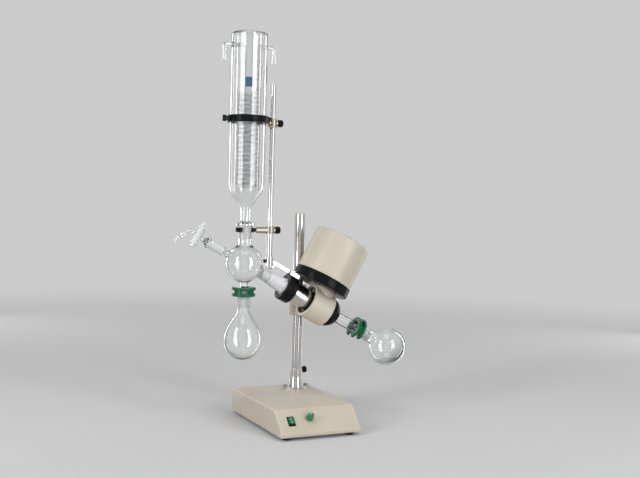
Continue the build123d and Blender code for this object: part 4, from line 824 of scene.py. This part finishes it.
class EVAPORATOR_OT_flasks(bpy.types.Operator):
    """Make the receiving flask, the evaporating flask and the vapour duct"""

    bl_idname = "evaporator.flasks"
    bl_label = "Flasks and duct"

    def execute(self, context):
        self.receiver()
        self.evaporating()
        self.duct()
        return {"FINISHED"}

    def receiver(self):
        z = sizes()
        low, high, wide = reach("receiving_flask", at_glass)
        neck_end = high - 0.0367
        stem_z = neck_end - 0.003
        stem = 0.0125
        middle_z = low + 0.041
        wide_bore = z.joint_wide + z.joint_gap
        bore = z.joint_narrow + z.joint_gap
        outside = soften([(z.flask_rim, high, z.rim_round), (z.flask_rim, high - 0.003, 0.001),
                          (z.flask_neck, high - 0.0042, 0.001), (z.flask_neck, neck_end, 0.0025),
                          (stem, stem_z, 0.002)], closed=False)
        outside += pear_line(0.0, stem_z - 0.001, middle_z, low, stem, wide)
        inside = list(reversed(pear_line(z.wall, stem_z - 0.001, middle_z, low, stem, wide)))
        inside += soften([(stem - z.wall, stem_z, 0.001), (bore, neck_end + 0.002, 0.001),
                          (wide_bore, high, 0.0005)], closed=False)
        bm = bmesh.new()
        turn(bm, outside + inside, at_glass,
             pick=lambda m: int(m.y > neck_end + 0.002 and m.x < wide_bore + 0.0002 and m.y < high - 0.0005))
        piece("receiver_bulb", bm, glass_finishes(), "receiving_flask")

    def evaporating(self):
        z = sizes()
        low, high, radius = reach("evaporating_flask", at_drive)
        middle = high - radius
        wide_bore = z.joint_wide + z.joint_gap
        bore = z.joint_narrow + z.joint_gap
        blend = 0.006
        outside = soften([(z.flask_rim, low, z.rim_round), (z.flask_rim, low + 0.003, 0.001),
                          (z.flask_neck, low + 0.0042, 0.001), (z.flask_neck, low + 0.02, 0)], closed=False)
        rise = neck_start(radius, z.flask_neck, blend)
        outside += [Vector((r, middle - h)) for r, h in reversed(rise)]
        first = math.degrees(math.asin((z.flask_neck + blend) / radius))
        outside += arc(radius, middle, first - 90, 90, 48)[1:]
        inner = radius - z.wall
        first_in = math.degrees(math.asin((bore + blend) / inner))
        inside = list(reversed(arc(inner, middle, first_in - 90, 90, 48)[1:]))
        inside += [Vector((r, middle - h)) for r, h in neck_start(inner, bore, blend)]
        inside += soften([(bore, low + 0.030, 0), (wide_bore, low, 0)], closed=False)
        bm = bmesh.new()
        turn(bm, outside + inside, at_drive,
             pick=lambda m: int(low + 0.0005 < m.y < low + 0.031 and m.x < wide_bore + 0.0002))
        piece("flask_bulb", bm, glass_finishes(), "evaporating_flask")

    def duct(self):
        z = sizes()
        low, high, rim = reach("vapour_duct", at_drive)
        cone = high - 0.032
        collar = cone - 0.0035
        bm = bmesh.new()
        turn(bm, soften([(0.010, low, 0.0006), (0.012, low, 0.0008), (0.012, collar - 0.002, 0.002),
                         (rim, collar, 0.001), (rim, cone, 0.0006), (0.0124, cone, 0.0002),
                         (z.joint_narrow, high, 0.0006), (z.joint_narrow - 0.0016, high, 0.0006),
                         (0.010, cone, 0.001)]), at_drive,
             pick=lambda m: int(cone < m.y < high - 0.0004 and m.x > 0.0108))
        piece("vapour_duct_glass", bm, glass_finishes(), "vapour_duct")


class EVAPORATOR_OT_condenser(bpy.types.Operator):
    """Make the condenser's jacket, its water connectors and its coil"""

    bl_idname = "evaporator.condenser"
    bl_label = "Condenser"

    def execute(self, context):
        z = sizes()
        low, high, _ = reach("condenser_jacket", at_glass)
        radius = (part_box("condenser_jacket")[1].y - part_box("condenser_jacket")[0].y) / 2
        wall = z.wall
        cone = low + 0.030
        flange = 0.0205
        neck = 0.0105
        shoulder = low + 0.104
        throat = low + 0.068
        outside = soften([(z.joint_narrow, low, 0.0006), (z.joint_wide, cone, 0.0002), (flange, cone, 0.0008),
                          (flange, cone + 0.0045, 0.0012), (neck + 0.003, cone + 0.0045, 0.001),
                          (neck, cone + 0.008, 0.003), (neck, throat, 0.012), (radius, shoulder, 0.016),
                          (radius, high, 0.008), (0, high, 0)], 8, closed=False)
        inside = soften([(0, high - wall, 0), (radius - wall, high - wall, 0.007),
                         (radius - wall, shoulder, 0.015), (neck - wall, throat, 0.011),
                         (neck - wall, cone, 0.002), (z.joint_narrow - wall, low, 0)], 8, closed=False)
        bm = bmesh.new()
        turn(bm, outside + inside, at_glass, knob_count,
             pick=lambda m: int(low + 0.0005 < m.y < cone and m.x > z.joint_narrow - 0.0003))
        inner = 0.026
        inner_low = low + 0.102
        turn(bm, soften([(inner - 0.0015, inner_low, 0.0006), (inner, inner_low, 0.0006),
                         (inner, high - wall + 0.0005, 0.0006),
                         (inner - 0.0015, high - wall + 0.0005, 0.0006)]), at_glass)
        arm_z = high - 0.028
        for side, drop in ((-1, 0.034), (1, 0.033)):
            self.connector(bm, side, radius, arm_z, arm_z - drop)
        piece("condenser_bulb", bm, glass_finishes(), "condenser_jacket")
        self.coil(high - 0.124, arm_z)
        self.patch(radius, high - 0.116, high - 0.096)
        return {"FINISHED"}

    def connector(self, bm, side, radius, arm_z, end_z):
        """Bent arm with a ribbed hose end, and the bead where it is sealed on."""
        reach_out = radius + 0.017
        length = 0.018
        top = end_z + length
        arm = 0.004
        bore = 0.0024
        path = [at_glass @ point for point in
                soften([(side * (radius - 0.0015), 0, arm_z, 0), (side * reach_out, 0, arm_z, 0.010),
                        (side * reach_out, 0, top, 0)], 10, closed=False)]
        tube(bm, path, arm, 20, bore)
        at_end = at_glass @ Matrix.Translation((side * reach_out, 0, 0))
        ribs = 4
        pitch = 0.004
        outline = [(bore, top + 0.0005, 0), (arm, top + 0.0005, 0.0002)]
        for i in range(ribs):
            z0 = top - 0.002 - pitch * i
            outline += [(0.0036, z0, 0.0002), (0.0050, z0 - pitch * 0.85, 0.0004),
                        (0.0036, z0 - pitch, 0.0002)]
        outline += [(0.0034, end_z, 0.0006), (bore, end_z, 0.0004)]
        turn(bm, soften(outline), at_end, 32)
        on_wall = at_glass @ Vector((side * (radius - 0.0012), 0, arm_z))
        at_wall = axis_frame(on_wall, Vector((side, 0, 0)), up)
        turn(bm, soften([(bore, 0, 0.0002), (0.0062, 0, 0.0006), (0.0046, 0.0026, 0.0012),
                         (bore, 0.0026, 0.0002)]), at_wall, 32)

    def coil(self, end_z, out_z):
        """One helix fed by a riser down its middle, with both ends led out to the jacket's wall."""
        z = sizes()
        low, _, _ = reach("cooling_coil", at_glass)
        radius = 0.0195
        start_z = low + 0.0045
        out_x = 0.0358
        inner = 0.009
        per_turn = 36
        half_turns = int(z.coil_turns * 2 - 2) | 1
        steps = half_turns * per_turn // 2
        path = soften([(-out_x, 0, out_z, 0), (-inner, 0, out_z, 0.006), (-inner, 0, start_z, 0.0)], 8, False)
        lead = per_turn // 2
        helix = []
        for k in range(steps + 1):
            turn_angle = math.pi + 2 * math.pi * k / per_turn
            share = min(1.0, k / lead)
            r = inner + (radius - inner) * share * share * (3 - 2 * share)
            height = start_z + (end_z - start_z) * k / steps
            helix.append(Vector((r * math.cos(turn_angle), r * math.sin(turn_angle), height)))
        last = helix[-1]
        tail = soften([(last.x, last.y, last.z + 0.004, 0), (last.x, last.y, out_z, 0.006),
                       (out_x, 0, out_z, 0)], 8, False)
        foot = [Vector((-inner, 0, start_z + 0.008 - 0.002 * k)) for k in range(3)]
        points = path[:-1] + foot + helix + tail
        for _ in range(4):
            points = [points[0]] + [(a + b * 2 + c) / 4 for a, b, c in
                                    zip(points, points[1:], points[2:])] + [points[-1]]
        bm = bmesh.new()
        tube(bm, [at_glass @ point for point in points], z.coil_tube, 16)
        piece("coil_helix", bm, [finish("coil_glass")], "cooling_coil", sharp=60.0)

    def patch(self, radius, low, high):
        """Plain blue marking patch fired on the jacket."""
        middle = 249.0
        half = 11.0
        lift = 0.0001
        bm = bmesh.new()
        turn_part(bm, soften([(radius + lift / 2, low, 0), (radius + lift * 2, low, lift / 2),
                              (radius + lift * 2, high, lift / 2), (radius + lift / 2, high, 0)]),
                  at_glass, middle - half, middle + half, 16)
        piece("marking_patch", bm, [finish("marking")], like="condenser_jacket")


class EVAPORATOR_OT_feed(bpy.types.Operator):
    """Make the inlet adapter with its stopcock and hose end"""

    bl_idname = "evaporator.feed"
    bl_label = "Feed adapter"

    def execute(self, context):
        tower = axis_frame(ball_point + drive_way * -0.1185, square_way, back)
        low, high, _ = reach("stopcock_key", tower)
        socket_end = reach("glass_distributor", at_drive)[0]
        cone_end = socket_end + 0.032
        barrel_low, barrel_high = -0.018, 0.021
        barrel = 0.009
        key = 0.0056
        bm = bmesh.new()
        turn(bm, soften([(0.0022, -0.1115, 0), (0.004, -0.1115, 0), (0.004, socket_end - 0.007, 0.002),
                         (0.0088, socket_end - 0.002, 0.001), (0.0078, cone_end, 0.0005),
                         (0.0062, cone_end, 0.0005), (0.0062, socket_end + 0.005, 0.002),
                         (0.0022, socket_end - 0.003, 0.001)]), at_drive, 64,
             pick=lambda m: int(m.y > socket_end and m.x > 0.0076))
        bore = key + 0.0001
        bead = 0.0010
        turn(bm, soften([(bore, barrel_low, 0.0003), (barrel, barrel_low, 0.001),
                         (barrel, barrel_low + 0.003, 0.0008), (barrel - bead, barrel_low + 0.005, 0.001),
                         (barrel - bead, barrel_high - 0.005, 0.001), (barrel, barrel_high - 0.003, 0.0008),
                         (barrel, barrel_high, 0.001), (bore, barrel_high, 0.0003)]), tower, 64,
             pick=lambda m: 1)
        start = tower @ Vector((0, 0, 0.008))
        bend = start + Vector((-0.022, 0, 0.0055))
        end = bend + Vector((-0.016, 0, -0.011))
        way = (end - bend).normalized()
        begin = start + (bend - start).normalized() * (barrel - 0.002)
        path = soften([(*begin, 0), (*bend, 0.010), (*end, 0)], 12, False)
        tube(bm, path, 0.0036, 20, 0.0016)
        hose = axis_frame(end - way * 0.003, way, back)
        length = 0.021
        pitch = 0.004
        outline = [(0.0016, 0, 0), (0.0036, 0, 0.0003)]
        for i in range(4):
            z0 = 0.004 + pitch * i
            outline += [(0.0050, z0 + 0.0006, 0.0004), (0.0036, z0 + pitch * 0.95, 0.0002)]
        outline += [(0.0036, length, 0.0006), (0.0016, length, 0.0003)]
        turn(bm, soften(outline), hose, 32)
        piece("feed_adapter_glass", bm, glass_finishes(), "feed_adapter")
        waist = 0.0035
        grip = 0.0055
        neck = barrel_high + 0.0004
        bm = bmesh.new()
        turn(bm, soften([(0, low, 0), (key + 0.001, low, 0.0015), (key + 0.001, barrel_low - 0.0005, 0.0005),
                         (key, barrel_low - 0.0004, 0.0002), (key, neck, 0.0004),
                         (waist, neck + 0.001, 0.0008), (waist, neck + 0.005, 0.0005),
                         (0, neck + 0.005, 0)]), tower, 48)
        tall = high - barrel_high - 0.004
        middle = tower @ Matrix.Translation((0, 0, high - tall / 2))
        brick(bm, middle, (2 * grip, 0.005, tall), 0.0018, 4)
        piece("stopcock_plug", bm, [finish(slot_of["stopcock_key"])], "stopcock_key")
        return {"FINISHED"}


class EVAPORATOR_OT_clips(bpy.types.Operator):
    """Make the two green snap clips"""

    bl_idname = "evaporator.clips"
    bl_label = "Joint clips"

    def execute(self, context):
        for name, node, place, mouth in (("flask_clip_green", "flask_clip", at_drive, 270.0),
                                         ("receiver_clip_green", "receiver_clip", at_glass, 120.0)):
            self.clip(name, node, place, mouth)
        return {"FINISHED"}

    def clip(self, name, node, place, mouth):
        """Two open bands joined by three ribs, with rolled lips at the mouth."""
        low, high, outer = reach(node, place)
        bore = sizes().flask_neck + 0.0003
        window = sizes().flask_rim + 0.0003
        band = 0.006
        gape = 38.0
        bm = bmesh.new()
        for z0, z1, reach_out in ((low, low + band, outer - 0.001), (high - band, high, outer)):
            section = soften([(bore, z0, 0.0006), (reach_out, z0, 0.0016), (reach_out, z1, 0.0016),
                              (bore, z1, 0.0006)])
            turn_part(bm, section, place, mouth + gape, mouth + 360 - gape, 72)
            for side in (-1, 1):
                angle = math.radians(mouth + side * gape)
                lip = place @ Matrix.Translation((math.cos(angle) * (outer - 0.004),
                                                  math.sin(angle) * (outer - 0.004), 0))
                lip_radius = 0.0032
                turn(bm, soften([(0, z0, 0), (lip_radius, z0, 0.0012), (lip_radius, z1, 0.0012), (0, z1, 0)]),
                     lip, 32)
        rib_wall = 0.0050
        rib = soften([(window, low + band - 0.0005, 0), (window + rib_wall, low + band - 0.0005, 0),
                      (window + rib_wall, high - band + 0.0005, 0), (window, high - band + 0.0005, 0)])
        for turned_by in (90, 180, 270):
            turn_part(bm, rib, place, mouth + turned_by - 24, mouth + turned_by + 24, 16)
        piece(name, bm, [finish("green_clip")], node)


class EVAPORATOR_OT_controls(bpy.types.Operator):
    """Make the mains switch, the speed knob and its scale"""

    bl_idname = "evaporator.controls"
    bl_label = "Controls"

    def execute(self, context):
        joint = joints["speed_knob_turn"]
        out = Vector(joint["axis"]).normalized()
        if out.z < 0:
            out.negate()
        knob_place = axis_frame(Vector(joint["pos_m"]), out, up)
        z0, z1, radius = reach("speed_knob", knob_place)
        skirt = z1 - 0.012
        shaft = 0.003
        corners = [(0, z0, 0), (shaft, z0, 0.0003), (shaft, skirt, 0), (radius, skirt, 0.0006),
                   (radius, skirt + 0.0025, 0.0006), (radius * 0.86, skirt + 0.004, 0.0008),
                   (radius * 0.8, z1 - 0.0008, 0.0012), (radius * 0.62, z1, 0.0004),
                   (radius * 0.55, z1 - 0.0006, 0.0003), (0, z1 - 0.0006, 0)]
        bm = bmesh.new()
        grip = ridges(radius * 0.86, 20, 0.0006, skirt + 0.005, z1 - 0.0015, 0.8)
        turn(bm, soften(corners), knob_place, knob_count, grip)
        piece("speed_knob_grip", bm, [finish("green_lens")], "speed_knob")
        bm = bmesh.new()
        tip = knob_place @ Matrix.Translation((radius * 0.38, 0, z1 - 0.0004))
        brick(bm, tip, (radius * 0.7, 0.0011, 0.0006), 0.0002, 2)
        piece("speed_knob_pointer", bm, [finish("white_print")], like="speed_knob")
        panel = skirt - 0.0024
        bm = bmesh.new()
        ticks = 11
        sweep = 280.0
        for i in range(ticks):
            angle = math.radians(-sweep / 2 + sweep * i / (ticks - 1))
            length = 0.0026 if i % 5 == 0 else 0.0016
            mark = knob_place @ Matrix.Rotation(angle, 4, "Z")
            mark = mark @ Matrix.Translation((radius + 0.0030 + length / 2, 0, panel + 0.00006))
            brick(bm, mark, (length, 0.0004, 0.00012), 0.00003, 1)
        piece("speed_scale", bm, [finish("print")], like="base_housing")
        self.switch(out)
        return {"FINISHED"}

    def switch(self, out):
        """Black bezel and a green rocker with plain on and off marks."""
        joint = joints["switch_tip"]
        flat = Vector((1, 0, 0))
        slope_way = out.cross(flat).normalized()
        place = Matrix((flat, slope_way, out)).transposed().to_4x4()
        place.translation = Vector(joint["pos_m"])
        inverse = place.inverted()
        spots = [inverse @ vertex.co for vertex in nodes["switch_frame"].data.vertices]
        half_w = max(p.x for p in spots)
        half_h = (max(p.y for p in spots) - min(p.y for p in spots)) / 2
        top = max(p.z for p in spots)
        rim = 0.002
        mouth_w, mouth_h = 0.0054, 0.0084
        bm = bmesh.new()
        loops = ((half_w, half_h, top - rim, 0.0004), (half_w, half_h, top - 0.0009, 0.0008),
                 (half_w - 0.0009, half_h - 0.0009, top, 0.0008),
                 (mouth_w + 0.0004, mouth_h + 0.0004, top, 0.0006),
                 (mouth_w, mouth_h, top - 0.0004, 0.0005), (mouth_w, mouth_h, top - 0.0075, 0.0005),
                 (half_w - 0.0015, half_h - 0.0015, top - 0.0075, 0.0005),
                 (half_w - 0.0015, half_h - 0.0015, top - rim, 0.0005))
        sections = []
        for w, h, z, bend in loops:
            ring = soften([(w, h, bend), (-w, h, bend), (-w, -h, bend), (w, -h, bend)])
            sections.append([bm.verts.new(place @ Vector((p.x, p.y, z))) for p in ring])
        skin(bm, sections, loop=True)
        piece("switch_bezel", bm, [finish("black_plastic")], "switch_frame")
        tip = Matrix.Rotation(math.radians(-6.0), 4, "X")
        rocker = place @ tip
        crown = 0.0054
        width = 0.005
        half = 0.0078
        bm = bmesh.new()
        profile = [Vector((y, crown + 0.0006 * (abs(y) / half) ** 2 - 0.0004)) for y in
                   [half * (k / 12 - 1) for k in range(25)]]
        outline = profile + [Vector((half * 0.86, crown - 0.007)), Vector((-half * 0.86, crown - 0.007))]
        inset = 0.0005
        sections = []
        for x, shrink in ((-width, inset), (-width + inset, 0.0), (width - inset, 0.0), (width, inset)):
            sections.append([bm.verts.new(rocker @ Vector((x, y * (1 - shrink / half), z - shrink)))
                             for y, z in outline])
        skin(bm, sections)
        piece("rocker_lens", bm, [finish("green_lens")], "switch_rocker")
        bm = bmesh.new()
        lift = crown + 0.0001
        bar = rocker @ Matrix.Translation((0, half * 0.5, lift))
        brick(bm, bar, (0.0005, 0.0030, 0.0002), 0.00005, 1)
        circle = rocker @ Matrix.Translation((0, -half * 0.5, 0))
        turn(bm, [Vector((0.0011, lift)), Vector((0.0015, lift)), Vector((0.0015, lift + 0.0001)),
                  Vector((0.0011, lift + 0.0001))], circle, 32)
        piece("rocker_marks", bm, [finish("white_print")], like="switch_rocker")


class EvaporatorStage(bpy.types.PropertyGroup):
    """Camera, light and floor."""

    focal: FloatProperty(name="Focal length", description="Lens of the camera in millimetres", default=53.44)
    spot: FloatVectorProperty(name="Camera place", description="Where the camera stands",
                              default=(-0.843, -1.840, 0.483), unit="LENGTH")
    heading: FloatProperty(name="Heading", description="Turn of the view to the right, in degrees",
                           default=25.9)
    fall: FloatProperty(name="Fall", description="How far the view looks down, in degrees", default=2.4)
    roll: FloatProperty(name="Roll", description="Roll of the camera, in degrees", default=1.6)
    backdrop: FloatProperty(name="Backdrop", description="Grey of the floor and the backdrop", default=0.60)
    ambient: FloatProperty(name="Ambient", description="Even light from all sides", default=0.42)
    strip: FloatProperty(name="Strip lights", description="Radiance of the tall lamps", default=7.0)
    panel: FloatProperty(name="Panels", description="Radiance of the panels that gloss shows", default=3.2)
    ceiling: FloatProperty(name="Top light", description="Radiance of the lamp overhead", default=1.6)


class EVAPORATOR_OT_stage(bpy.types.Operator):
    """Make the floor, the lights and the camera"""

    bl_idname = "evaporator.stage"
    bl_label = "Stage"

    def execute(self, context):
        stage = context.scene.evaporator_stage
        self.camera(stage)
        self.floor(stage)
        self.world(stage)
        self.lamps(stage)
        context.scene.view_settings.view_transform = "Standard"
        context.scene.cycles.max_bounces = 32
        context.scene.cycles.transmission_bounces = 32
        context.scene.cycles.transparent_max_bounces = 16
        return {"FINISHED"}

    def camera(self, stage):
        heading, fall, roll = (math.radians(v) for v in (stage.heading, stage.fall, stage.roll))
        level = Vector((math.sin(heading), math.cos(heading), 0))
        ahead = level * math.cos(fall) - up * math.sin(fall)
        right = Vector((math.cos(heading), -math.sin(heading), 0))
        above = right.cross(ahead)
        x = right * math.cos(roll) + above * math.sin(roll)
        y = above * math.cos(roll) - right * math.sin(roll)
        data = bpy.data.cameras.new("camera")
        data.lens = stage.focal
        data.sensor_width = 36.0
        camera = bpy.data.objects.new("camera", data)
        matrix = Matrix((x, y, -ahead)).transposed().to_4x4()
        matrix.translation = Vector(stage.spot)
        camera.matrix_world = matrix
        bpy.context.scene.collection.objects.link(camera)
        bpy.context.scene.camera = camera

    def floor(self, stage):
        bm = bmesh.new()
        bmesh.ops.create_circle(bm, cap_ends=True, segments=96, radius=14.0)
        mesh = bpy.data.meshes.new("floor")
        bm.to_mesh(mesh)
        bm.free()
        floor = bpy.data.objects.new("floor", mesh)
        bpy.context.scene.collection.objects.link(floor)
        material = bpy.data.materials.new("floor_paper")
        material.use_nodes = True
        shader = Shader(material.node_tree)
        grey = stage.backdrop
        spot = shader.node("TexCoord", output="Object")
        distance = shader.node("VectorMath", {"operation": "LENGTH"}, {0: spot}, output="Value")
        mirrored = shader.node("LightPath", output="Is Glossy Ray")
        # For glossy rays beyond about 0.7 m the floor glows in painted bands round the stage: bright where the
        # tall lamps stand, dark beside them and grey between, a painted reflection of studio lamps and flags.
        far = distance.step(0.7, 3.2) * (1 - mirrored) * seen_ray(shader)
        far = far + distance.step(0.25, 0.7) * mirrored
        wave = lamp_wave(shader, spot, stage)
        studio = shader.blend(wave.step(-0.6, 0.3), (grey, grey, grey, 1), (0.05, 0.05, 0.055, 1))
        studio = shader.blend(wave.step(0.75, 0.85), studio, (1.7, 1.7, 1.7, 1))
        shade = shader.blend(mirrored, (grey, grey, grey * 1.01, 1), studio)
        paper = shader.node("BsdfDiffuse", None, {"Color": (grey, grey, grey * 1.01, 1), "Roughness": 0.6})
        glow = shader.node("Emission", None, {"Color": shade, "Strength": 1.0})
        mixed = shader.node("MixShader", None, {0: far, 1: paper, 2: glow})
        shader.node("OutputMaterial", None, {"Surface": mixed}, output=None)
        mesh.materials.append(material)

    def world(self, stage):
        world = bpy.data.worlds.new("studio")
        bpy.context.scene.world = world
        world.use_nodes = True
        shader = Shader(world.node_tree)
        grey = stage.backdrop
        way = shader.node("TexCoord", output="Generated")
        dark = lamp_wave(shader, way, stage).step(-0.6, 0.3)
        glossy = shader.node("LightPath", output="Is Glossy Ray")
        studio = shader.blend(dark, (grey, grey, grey, 1), (0.05, 0.05, 0.055, 1))
        even = (stage.ambient, stage.ambient, stage.ambient, 1)
        base = shader.blend(seen_ray(shader), even, (grey, grey, grey * 1.01, 1))
        shade = shader.blend(glossy, base, studio)
        light = shader.node("Background", None, {"Color": shade, "Strength": 1.0})
        shader.node("OutputWorld", None, {"Surface": light}, output=None)

    def lamps(self, stage):
        middle = Vector((0, 0, 0.42))
        first = front_angle(stage)
        strips = ((-45, 1.0, 0.42, 1.6), (45, 0.85, 0.50, 1.6), (-135, 0.5, 0.34, 1.5), (135, 0.5, 0.34, 1.5))
        away = 1.9
        for turned_by, share, width, height in strips:
            angle = first + math.radians(turned_by)
            spot = middle + Vector((math.cos(angle), math.sin(angle), 0.22)) * away
            soft = self.lamp(f"strip_{turned_by}", spot, middle, width, height, stage.strip * share)
            soft.visible_glossy = False
            spot = middle + Vector((math.cos(angle), math.sin(angle), 0.18)) * away
            panel = self.lamp(f"panel_{turned_by}", spot, middle, width * 1.7, height * 1.25,
                              stage.panel * share)
            panel.visible_diffuse = False
        overhead = Vector((-0.3, -0.5, 2.3))
        self.lamp("overhead", overhead, middle, 1.3, 1.3, stage.ceiling)

    def lamp(self, name, spot, target, width, height, radiance):
        """Rectangular lamp of a given radiance, aimed at a point."""
        data = bpy.data.lights.new(name, "AREA")
        data.shape = "RECTANGLE"
        data.size = width
        data.size_y = height
        data.energy = radiance * math.pi * width * height
        lamp = bpy.data.objects.new(name, data)
        lamp.location = spot
        lamp.rotation_mode = "QUATERNION"
        lamp.rotation_quaternion = (target - spot).to_track_quat("-Z", "Y")
        lamp.visible_camera = False
        bpy.context.scene.collection.objects.link(lamp)
        return lamp


def front_angle(stage):
    """Azimuth that faces the camera's side of the stage."""
    heading = math.radians(stage.heading)
    return math.atan2(-math.cos(heading), -math.sin(heading))


def lamp_wave(shader, way, stage):
    """Wave round the stage, from -1 to 1, that peaks where the tall lamps stand."""
    x, y = (shader.node("SeparateXYZ", None, {0: way}, output=name) for name in "XY")
    angle = shader.node("Math", {"operation": "ARCTAN2"}, {0: y, 1: x})
    turned = (angle - (front_angle(stage) + math.pi / 4)) * 4.0
    return shader.node("Math", {"operation": "COSINE"}, {0: turned})


def seen_ray(shader):
    """One for what the camera sees straight on, in metal or through glass."""
    straight = shader.node("LightPath", output="Is Camera Ray")
    through = shader.node("LightPath", output="Is Transmission Ray")
    mirrored = shader.node("LightPath", output="Is Glossy Ray")
    return shader.node("Math", {"operation": "MINIMUM"}, {0: straight + through + mirrored, 1: 1.0})


class EVAPORATOR_PT_panel(bpy.types.Panel):
    """Sidebar panel that lists what the add-on makes"""

    bl_label = "Rotary evaporator"
    bl_space_type = "VIEW_3D"
    bl_region_type = "UI"
    bl_category = "Evaporator"

    def draw(self, context):
        for operator in operators:
            self.layout.operator(operator.bl_idname)
        for group in ("evaporator_sizes", "evaporator_colours", "evaporator_stage"):
            settings = getattr(context.scene, group)
            for name in settings.__annotations__:
                self.layout.prop(settings, name)


groups = {"evaporator_sizes": EvaporatorSizes, "evaporator_colours": EvaporatorColours,
          "evaporator_stage": EvaporatorStage}
operators = (EVAPORATOR_OT_finishes, EVAPORATOR_OT_column, EVAPORATOR_OT_head, EVAPORATOR_OT_distributor,
             EVAPORATOR_OT_flasks, EVAPORATOR_OT_condenser, EVAPORATOR_OT_feed, EVAPORATOR_OT_clips,
             EVAPORATOR_OT_controls, EVAPORATOR_OT_stage)


def register():
    for name, group in groups.items():
        bpy.utils.register_class(group)
        setattr(bpy.types.Scene, name, PointerProperty(type=group))
    for made in (*operators, EVAPORATOR_PT_panel):
        bpy.utils.register_class(made)


def unregister():
    for made in reversed((*operators, EVAPORATOR_PT_panel)):
        bpy.utils.unregister_class(made)
    for name, group in groups.items():
        delattr(bpy.types.Scene, name)
        bpy.utils.unregister_class(group)


def main():
    register()
    for operator in operators:
        module, name = operator.bl_idname.split(".")
        getattr(getattr(bpy.ops, module), name)()


if __name__ == "__main__":
    main()
